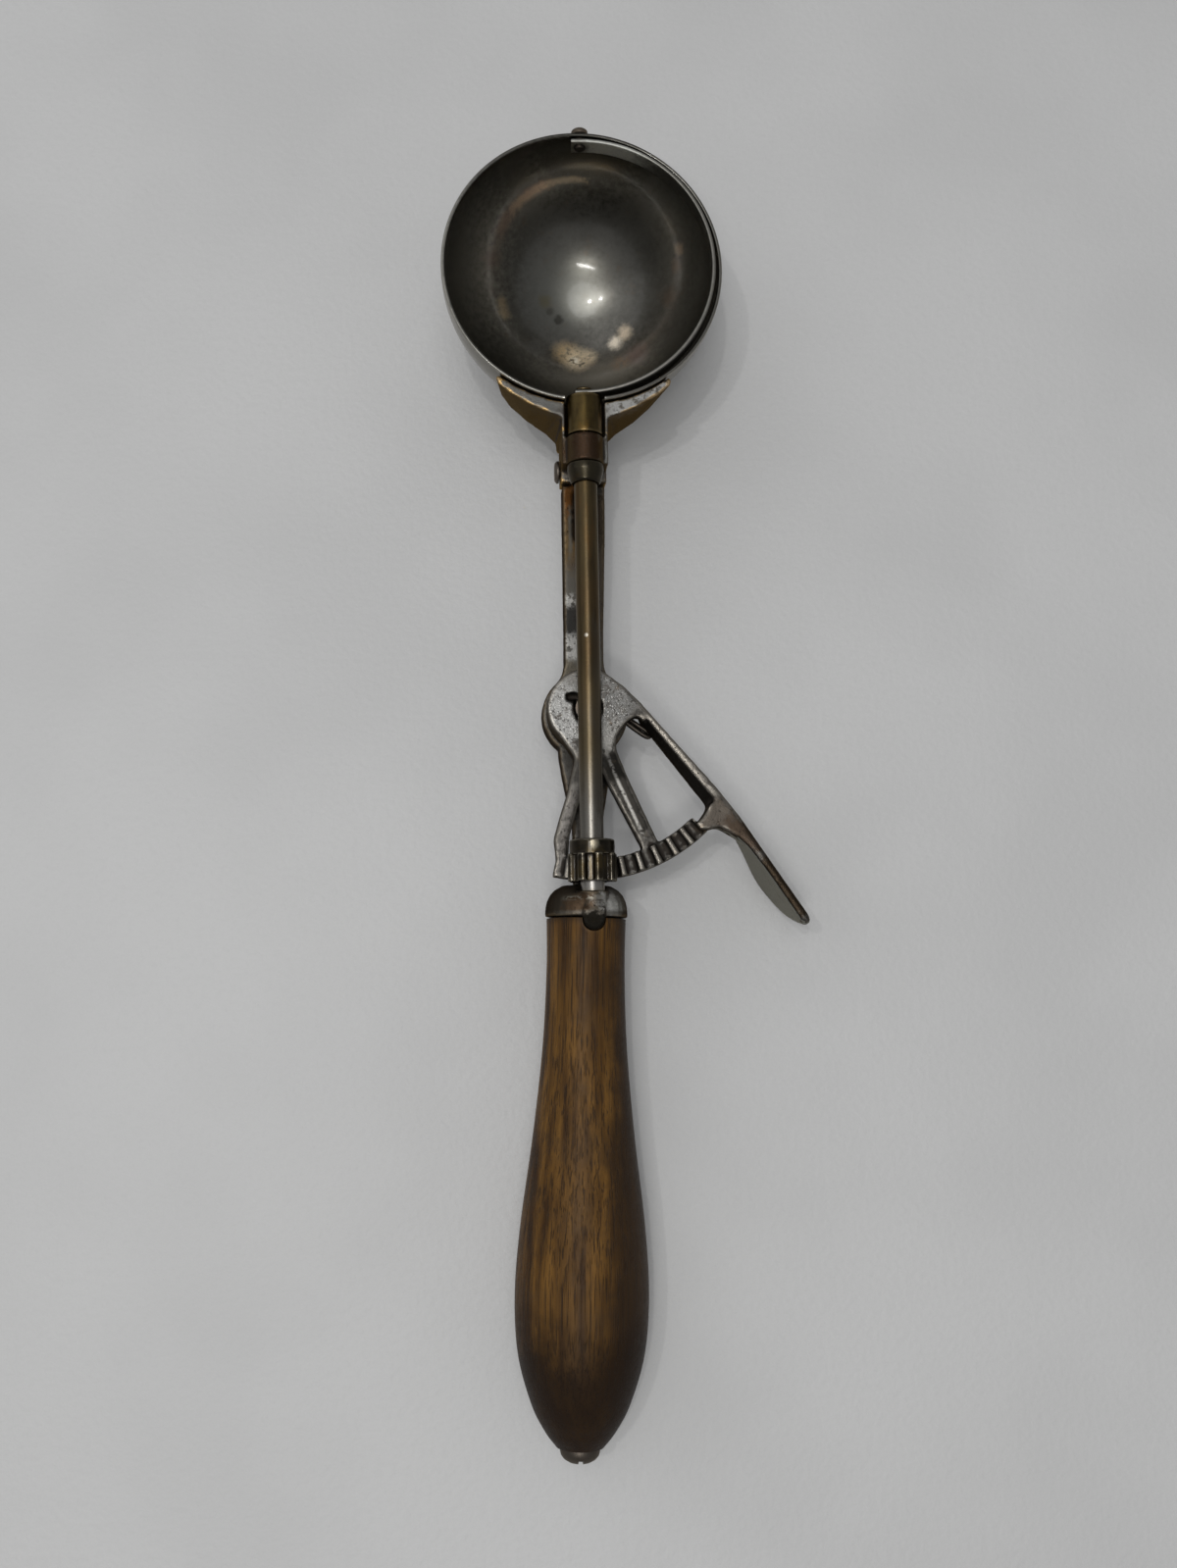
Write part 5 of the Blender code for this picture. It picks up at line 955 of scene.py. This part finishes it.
leverPatches = [
    mark((-4, pivotY - 0.5, -3.3), 7.2, 1.2, (0.25, 0.248, 0.239), 0.92, speckle=(0.36, 0.47)),
    mark((3, pivotY + 1.5, -3.3), 7.5, 1.6, (0.128, 0.126, 0.121), 0.9, speckle=(0.38, 0.5)),
    # Painted glints on the hub's rough top, then dark specks in it
    mark((-0.5, pivotY, -3.3), 9, 1.6, (0.6, 0.59, 0.565), 0.7, glints=(0.58, 0.66, 3)),
    mark((0, pivotY, -3.3), 9.5, 1.6, (0.035, 0.03, 0.026), 0.75, glints=(0.44, 0.36, 2)),
    mark((-2, pivotY + 8.0, -3.3), 4, 1.6, (0.14, 0.135, 0.125), 0.8),
    mark((5.2, pivotY - 6.2, -3.3), 3.6, 1.4, (0.18, 0.175, 0.163), 0.85, speckle=(0.38, 0.52)),
    mark((3.6, pivotY + 4.0, -3.3), 1.5, 0.6, (0.05, 0.042, 0.036), 0.8, speckle=(0.46, 0.54)),
    *[mark((x, pivotY + y, -3.6), size, 0.5, (0.04, 0.037, 0.033), 0.85) for x, y, size in (
        (7.3, -5.6, 1.3), (6.2, -8.0, 1.2), (5.4, -10.2, 1.1), (8.9, -3.2, 1.3), (10.6, -1.6, 1.2))],
    mark((-3.2, pivotY + 2.2, -3.6), 1.4, 0.5, (0.02, 0.017, 0.015), 0.95),
    calm((-3.2, pivotY + 2.2, -3.6), 2.2, 0.5),
    # Middle arm: painted shade along its body, then a painted highlight line along its left edge
    mark((8.2, pivotY - 18.6, -3.6), 9.5, 1.6, (0.024, 0.022, 0.019), 0.94,
         band=through(middleArm, (4.2, pivotY - 9.6), 2.6)),
    mark((8.2, pivotY - 18.6, -3.6), 9, 2, (0.42, 0.405, 0.375), 0.75,
         band=through(middleArm, (4.2, pivotY - 9.6), 0.34, -0.5), speckle=(0.38, 0.52)),
    # Painted shade along the left arm's dark side
    mark((-4.6, pivotY - 24.5, -3.6), 7.5, 2, (0.026, 0.023, 0.02), 0.85,
         band=through(leftArm, (-3.9, pivotY - 24), 1.2, 0.2)),
    mark((-7.5, pivotY - 26.0, -4), 9, 3, (0.15, 0.14, 0.13), 0.6, speckle=(0.36, 0.52)),
    mark((26.5, pivotY - 24.0, -3.3), 4.5, 1.4, (0.08, 0.068, 0.056), 0.9),
    mark((23.6, pivotY - 26.0, -4.6), 1.1, 0.6, (0.3, 0.2, 0.1), 0.85),
    mark((24.6, pivotY - 20.2, -4), 0.6, 0.25, (0.02, 0.018, 0.015), 0.9),
    mark((33, pivotY - 27.5, -3.3), 5, 2, (0.05, 0.035, 0.024), 0.9),
    mark((41.5, pivotY - 38.5, -3.3), 7.5, 1.4, (0.032, 0.022, 0.013), 0.92),
    calm((41, pivotY - 38.0, -3.3), 11, 2),
    calm((34.5, pivotY - 29.0, -3.3), 5, 2),
    mark((37.3, pivotY - 38.5, -13.5), 16, 1.5, (0.4, 0.415, 0.385), 0.95, faceOn=1),
    mark((40.5, pivotY - 41.5, -9.5), 1.3, 0.9, (0.18, 0.172, 0.155), 0.6),
    # A painted highlight along the outer arm's ridge
    mark((19, pivotY - 8.5, -3.6), 10, 3, (0.17, 0.155, 0.135), 0.75,
         band=through(outerArm, (12, pivotY + 0.1), 0.55, -0.2)),
]


# Where the lever keeps its shape, in mm and radians about the pivot: each place and how it fades in
leverStays = {"teethFrom": (30.9, 1.2), "webFrom": (0.80, -0.05), "padDepth": (8.6, 1.5), "padFrom": (26, 3),
              "hub": (10.0, -1.5), "armHalf": (4.0, -1.0), "armFrom": (9.5, 2), "armPoint": (19, -8.5), "armEnd": 30,
              "teethKept": 0.86, "restKept": 0.6}
ferruleKeeps = {"rear": -132, "rubbed": 0.22}


def fade(value, start, width):
    return np.clip((value - start) / width, 0, 1)


# How far each point, in tool mm, may be rubbed down
def teethStay(local):
    s, x, y = leverStays, local[:, 0], local[:, 1] - pivotY
    reach, angle = np.hypot(x, y), np.arctan2(x, -y)
    armX, armY = s["armPoint"]
    off = np.abs(outerArm[0] * (x - armX) + outerArm[1] * (y - armY))
    onTeeth = fade(reach, *s["teethFrom"]) * fade(angle, *s["webFrom"])
    onPad = fade(-local[:, 2], *s["padDepth"]) * fade(x, *s["padFrom"])
    onOuter = fade(off, *s["armHalf"]) * fade(x, *s["armFrom"]) * (reach < s["armEnd"])
    rest = np.max([onPad, fade(reach, *s["hub"]), onOuter], axis=0)
    return 1 - np.maximum(s["teethKept"] * onTeeth, s["restKept"] * rest)


def ferruleStays(local):
    return np.where(local[:, 1] < ferruleKeeps["rear"], ferruleKeeps["rubbed"], 1.0)


def makeCastings():
    finishes = {
        "yokeCasting": metalFinish("yokeNickel", yokeNickel, yokePatches),
        "shankCasting": metalFinish("shankNickel", shankNickel, shankPatches),
        "leverCasting": metalFinish("leverNickel", leverNickel, leverPatches),
    }
    shares = {"teeth": teethStay, "ferrule": ferruleStays, None: None}
    for name, sizes in castings.items():
        obj = remeshed(merged(sizes["node"], name), sizes["voxel"], sizes["passes"], shares[sizes["stays"]])
        finishPiece(obj, finishes[name], sizes["body"], sizes["node"], castWear)
        print(name, len(obj.data.polygons), "faces")


makeCastings()
print("castings done")


# Small hardware keeps its solids and gets narrow bevels

hardware = {
    "crossScrew": {"node": "shank_cross_screw", "bevel": 0.12, "finish": "steel"},
    "pivotStud": {"node": "lever_pivot_stud", "bevel": 0.15, "finish": "steel"},
    "pivotWasher": {"node": "pivot_washer", "bevel": 0.12, "finish": "nickel"},
    "pivotNut": {"node": "pivot_nut", "bevel": 0.25, "finish": "nickel"},
    "endWasher": {"node": "end_washer", "bevel": 0.1, "finish": "steel"},
    "endNut": {"node": "end_nut", "bevel": 0.2, "finish": "black"},
}
smallWear, bevelFrom, smoothUnder = (0.4, 0.10), 40, 32        # the last two in degrees


def makeHardware():
    finishes = {"steel": metalFinish("darkSteel", darkSteel), "nickel": metalFinish("nutNickel", castNickel),
                "black": metalFinish("blackSteel", blackSteel)}
    for name, sizes in hardware.items():
        obj = merged(sizes["node"], name)
        bevel = obj.modifiers.new("edges", "BEVEL")
        bevel.width, bevel.segments, bevel.limit_method = sizes["bevel"] * mm, 2, "ANGLE"
        bevel.angle_limit = math.radians(bevelFrom)
        obj = settled(obj, name)
        smoothByAngle(obj, smoothUnder)
        finishPiece(obj, finishes[sizes["finish"]], "frame", sizes["node"], smallWear)
    for nodeName in ("tang_rod", "pinion_pin"):
        node = frame["nodes"][nodeName]
        node.data.materials.clear()
        node.data.materials.append(finishes["steel"])


makeHardware()


# Return spring: a coil round the pivot whose leg ends in a hairpin beside the outer arm

spring = {"wire": 0.55, "coil": 3.66, "pitch": 1.58, "turns": 2.2, "coilSteps": 60, "legDegrees": 35.2, "leg": 10.2,
          "top": -7.15, "tail": -13.8, "tailRise": 1.1, "coilDrop": 0.55, "legShares": (0.25, 0.45),
          "bendFrom": -0.5, "bendTo": -0.4, "wireStep": 0.25, "sides": 16,
          "legEnd": ((8.7, -2.6, -0.1), (11.0, -4.4, -0.2), (12.9, -5.6, -0.3), (13.7, -5.4, -0.6),
                     (13.3, -4.5, -0.9), (11.2, -3.0, -1.1), (9.0, -1.4, -1.3))}


def makeSpring():
    s = spring
    lean, count = math.radians(s["legDegrees"]), s["coilSteps"]
    start = math.pi / 2 - lean + 2 * math.pi * s["turns"]
    low = s["top"] - s["pitch"] * s["turns"]

    def onCoil(angle, z):
        return s["coil"] * math.cos(angle), s["coil"] * math.sin(angle), z

    line = [onCoil(start, z) for z in (s["tail"], s["tail"] + s["tailRise"], low - s["coilDrop"])]
    line += [onCoil(start - 2 * math.pi * s["turns"] * i / count, low + (s["top"] - low) * i / count)
             for i in range(1, count + 1)]
    last, along = Vector(line[-1]), Vector((math.cos(lean), -math.sin(lean), 0))
    line += [tuple(last + along * s["leg"] * share) for share in s["legShares"]]
    line += [(x, y, s["top"] + z) for x, y, z in s["legEnd"]]
    obj = polyline("springLine", [place(x, pivotY + y, z) for x, y, z in line])
    material = metalFinish("springSteel", darkSteel)
    obj = grow(obj, "wire", "returnSpring", Radius=s["wire"] * mm, Step=s["wireStep"] * mm, Sides=s["sides"],
               Finish=material)
    finishPiece(obj, material, None, "return_spring", smallWear)
    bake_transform(obj)


makeSpring()
print("hardware and spring done")


# Handle: turned walnut, notched for the ferrule's tongue

handle = {"front": -142.4, "shift": -1.0, "drop": -6.0, "leanDegrees": -1.65, "gap": 0.3, "length": 106.8,
          "bore": 2.8, "recess": 4.7, "recessDepth": 1.4, "stationSteps": 16, "endRounding": 0.5,
          "recessRounding": 0.15, "steps": 128, "smooth": 38, "wear": (0.6, 0.12),
          "stations": ((0.0, 8.4), (0.10, 8.25), (0.25, 8.85), (0.42, 10.6), (0.59, 12.9), (0.72, 13.82),
                       (0.83, 13.0), (0.92, 10.2), (0.97, 7.4), (1.0, 4.9))}
tongue = {"half": 2.5, "tip": -145.3, "round": 2.2, "past": 2, "low": -1.1, "high": 12}

# Noises are scale, detail, roughness, shift and stretch. Stops colour the growth rings. Overs are laid on in order:
# where each begins and is full, its share and its colour.
walnut = {
    "bands": (0.5, 4, 0.55, 0, (1.0, 0.05, 1.0)), "wander": (0.09, 2, 0.5, 9, (1.0, 0.35, 1.0)),
    "clouds": (0.11, 4, 0.6, 40), "pores": (3.0, 2, 0.5, 5, (1.0, 0.025, 1.0)),
    "streaks": (1.6, 3, 0.6, 67, (1.0, 0.02, 1.0)), "fibres": (6.0, 3, 0.6, 23, (1.0, 0.03, 1.0)),
    "knocks": (0.8, 4, 0.65, 61),
    "stops": ((0.32, (0.014, 0.0065, 0.002)), (0.68, (0.205, 0.103, 0.024)), (0.42, (0.042, 0.019, 0.005)),
              (0.50, (0.096, 0.046, 0.010)), (0.58, (0.152, 0.074, 0.016))),
    "overs": {
        "fibres": ((0.4, 0.7), 0.35, (0.062, 0.030, 0.010)), "pores": (None, 0.75, (0.018, 0.010, 0.005)),
        # The handle's right side is darkened as painted shade
        "clouds": ((0.46, 0.66), 0.35, (0.052, 0.030, 0.014)), "shadedRightSide": ((1.5, 8.0), 0.88, (0.024, 0.013, 0.006)),
        "butt": ((-74.0, -94.0), 0.93, (0.014, 0.007, 0.003)), "frontRim": ((-2.2, -0.2), 0.7, (0.018, 0.011, 0.006)),
        "edge": ((0.3, 0.8), 0.25, (0.15, 0.085, 0.035))},
    "ringShares": (0.6, 0.4), "poreReach": (0.56, 0.66), "streakReach": (0.54, 0.66), "streakShare": 0.8,
    "ragged": 26.0, "raggedSide": 0.25, "raggedRim": 0.06, "fibreHeight": 0.35, "poreDepth": 0.9, "knockHeight": 0.5,
    "grain": 0.07, "rough": 0.36, "knockRough": 0.28, "shine": 0.12, "wax": 0.02, "waxRough": 0.3,
}


def woodFinish():
    material, tree, shader = newMaterial("walnut")
    add, less, times, most = mathOf(tree)
    w = walnut
    where = toolSpace(tree, (handle["shift"], handle["front"], handle["drop"]), math.radians(handle["leanDegrees"]))
    bands, wander, clouds, pores, streaks, fibres, knocks = [
        noiseOf(tree, where, *w[key])
        for key in ("bands", "wander", "clouds", "pores", "streaks", "fibres", "knocks")]
    bandShare, wanderShare = w["ringShares"]
    rings = addNode(tree, "ShaderNodeValToRGB", {"Fac": add(times(bands, bandShare), times(wander, wanderShare))})
    stops = rings.color_ramp.elements
    for i, (at, colour) in enumerate(w["stops"]):
        stop = stops[i] if i < 2 else stops.new(at)           # a new ramp has two stops already
        stop.position, stop.color = at, (*colour, 1)
    pore = most(ramp(tree, pores, *w["poreReach"]), times(ramp(tree, streaks, *w["streakReach"]), w["streakShare"]))
    split = addNode(tree, "ShaderNodeSeparateXYZ", {"Vector": where})
    across, along = split.outputs["X"], split.outputs["Y"]
    ragged = times(less(clouds, noiseMiddle), w["ragged"])
    follows = {
        "fibres": fibres, "pores": pore, "clouds": clouds, "shadedRightSide": add(across, times(ragged, w["raggedSide"])),
        "butt": add(along, ragged), "frontRim": add(along, times(ragged, w["raggedRim"])),
        "edge": attribute(tree, "edge")}
    colour = rings.outputs["Color"]
    for key, (reach, share, over) in w["overs"].items():
        cover = ramp(tree, follows[key], *reach) if reach else follows[key]
        colour = blendColour(tree, times(cover, share), colour, over)
    height = less(times(fibres, w["fibreHeight"]), times(pore, w["poreDepth"]))
    height = add(height, times(knocks, w["knockHeight"]))
    feed(tree, shader, {
        "Base Color": colour, "Roughness": add(w["rough"], times(knocks, w["knockRough"])),
        "Normal": bumpOf(tree, height, w["grain"]),
        "Specular IOR Level": w["shine"], "Coat Weight": w["wax"], "Coat Roughness": w["waxRough"]})
    return material


# Catmull-Rom through (along, radius) stations
def throughStations(stations, steps):
    points = [Vector(p) for p in stations]
    line = []
    for i in range(len(points) - 1):
        a, b = points[max(i - 1, 0)], points[i]
        c, d = points[i + 1], points[min(i + 2, len(points) - 1)]
        for k in range(steps):
            t = k / steps
            curve = 2 * b + (c - a) * t + (2 * a - 5 * b + 4 * c - d) * t * t + (3 * b - a - 3 * c + d) * t ** 3
            line.append(0.5 * curve)
    return line + [points[-1]]


def makeHandle():
    h, t = handle, tongue
    outer = throughStations([(along * h["length"], radius) for along, radius in h["stations"]], h["stationSteps"])
    profile = [(h["bore"], -h["gap"], 0)]
    profile += [(p.y, -h["gap"] - p.x, h["endRounding"] if i in (0, len(outer) - 1) else 0)
                for i, p in enumerate(outer)]
    rear = -h["gap"] - h["length"]
    floor = rear + h["recessDepth"]
    profile += [(h["recess"], rear, h["recessRounding"]), (h["recess"], floor, 0), (h["bore"], floor, 0)]
    axis = toTool @ Matrix.Translation(Vector((h["shift"], h["front"], h["drop"])) * mm)
    axis = axis @ Matrix.Rotation(math.radians(h["leanDegrees"]), 4, "Z") @ Matrix.Rotation(-math.pi / 2, 4, "X")
    material = woodFinish()
    obj = turnedPiece("walnutHandle", profile, axis, h["steps"], material, closed=True)
    half, turn = t["half"], t["tip"] + t["round"]
    obj = cutAway(obj, rod("tongueTip", half, (0, turn, t["low"]), (0, turn, t["high"])),
                  block("tongueSlot", (-half, turn, t["low"]), (half, h["front"] + t["past"], t["high"])))
    smoothByAngle(obj, h["smooth"])
    finishPiece(obj, material, "frame", "wooden_handle", h["wear"])


makeHandle()
print("handle done")


# Table, light and camera

table = {"size": 4.0, "colour": (0.56, 0.56, 0.56), "shade": 0.93, "grain": 0.16, "rough": 0.55,
         "pebble": (650, 3, 0.5), "pebbleReach": (0.45, 0.7), "pebbleShare": 0.25,
         "cloud": (14, 4, 0.5), "cloudReach": (0.35, 0.7)}


def makeTable():
    material, tree, shader = newMaterial("tableTop")
    coords = addNode(tree, "ShaderNodeTexCoord").outputs["Object"]
    pebble, cloud = [noiseOf(tree, coords, *table[key]) for key in ("pebble", "cloud")]
    tint = [part * table["shade"] for part in table["colour"]]
    colour = blendColour(tree, ramp(tree, cloud, *table["cloudReach"]), table["colour"], tint)
    cover = sums(tree, "MULTIPLY", ramp(tree, pebble, *table["pebbleReach"]), table["pebbleShare"])
    colour = blendColour(tree, cover, colour, tint)
    normal = bumpOf(tree, pebble, table["grain"])
    feed(tree, shader, {"Base Color": colour, "Normal": normal, "Roughness": table["rough"]})
    half = table["size"] / 2
    mesh = bpy.data.meshes.new("table")
    mesh.from_pydata([(-half, -half, 0), (half, -half, 0), (half, half, 0), (-half, half, 0)], [], [(0, 1, 2, 3)])
    mesh.materials.append(material)
    linkNew("table", mesh)


pairSize = (0.032, 0.032)                                     # two small lamps give the bowl its two small lights
lamps = {
    "keyLamp": {"way": (-0.14, -0.40, 0.90), "distance": 1.3, "size": (0.36, 0.05), "watts": 2.2,
                "colour": (1.0, 0.99, 0.96)},
    "leftWindow": {"way": (-0.62, 0.38, 0.68), "distance": 1.3, "size": (1.7, 1.7), "watts": 2.5,
                   "colour": (0.98, 0.99, 1.0)},
    "ceiling": {"way": (-0.12, 0.05, 0.99), "distance": 1.4, "size": (0.72, 0.72), "watts": 3.7,
                "colour": (1.0, 1.0, 1.0)},
    "pairLamp": {"way": (-0.18, 0.04, 0.98), "distance": 1.5, "size": pairSize, "watts": 1.5,
                 "colour": (1.0, 0.99, 0.97)},
    "pairLampRight": {"way": (-0.34, 0.03, 0.94), "distance": 1.5, "size": pairSize, "watts": 1.5,
                      "colour": (1.0, 0.99, 0.97)},
}
lampAim = (0, -60, 0)
sky = {"strength": 0.34, "colour": (0.98, 0.99, 1.0), "cameraSees": (0.60, 0.60, 0.60)}


def makeLight():
    for name, values in lamps.items():
        light = bpy.data.lights.new(name, "AREA")
        light.shape, light.energy, light.color = "ELLIPSE", values["watts"], values["colour"]
        light.size, light.size_y = values["size"]
        lamp = linkNew(name, light)
        way = (toolTurn @ Vector(values["way"])).normalized()
        lamp.location = place(*lampAim) + way * values["distance"]
        lamp.rotation_euler = (-way).to_track_quat("-Z", "Y").to_euler()
    world = bpy.data.worlds.new("room")
    bpy.context.scene.world = world
    world.use_nodes = True
    tree = world.node_tree
    tree.nodes.clear()
    room = addNode(tree, "ShaderNodeBackground", {"Color": (*sky["colour"], 1), "Strength": sky["strength"]})
    seen = addNode(tree, "ShaderNodeBackground", {"Color": (*sky["cameraSees"], 1), "Strength": 1.0})
    isCamera = addNode(tree, "ShaderNodeLightPath").outputs["Is Camera Ray"]
    mixed = addNode(tree, "ShaderNodeMixShader", {0: isCamera, 1: room.outputs[0], 2: seen.outputs[0]})
    addNode(tree, "ShaderNodeOutputWorld", {"Surface": mixed.outputs[0]})


camera = {"place": (-28.907, -158.058, 326.613), "turnDegrees": (7.6391, -4.8329, -1.0086), "lens": 36.0,
          "sensor": 36.0, "clip": (0.01, 20)}


def makeCamera():
    data = bpy.data.cameras.new("camera")
    data.lens, data.sensor_width = camera["lens"], camera["sensor"]
    data.clip_start, data.clip_end = camera["clip"]
    obj = linkNew("camera", data)
    turn = Euler([math.radians(a) for a in camera["turnDegrees"]]).to_matrix().to_4x4()
    obj.matrix_world = toTool @ Matrix.Translation(Vector(camera["place"]) * mm) @ turn
    bpy.context.scene.camera = obj


makeTable()
makeLight()
makeCamera()
bpy.context.scene.view_settings.view_transform = "Standard"
print("table, light and camera done")
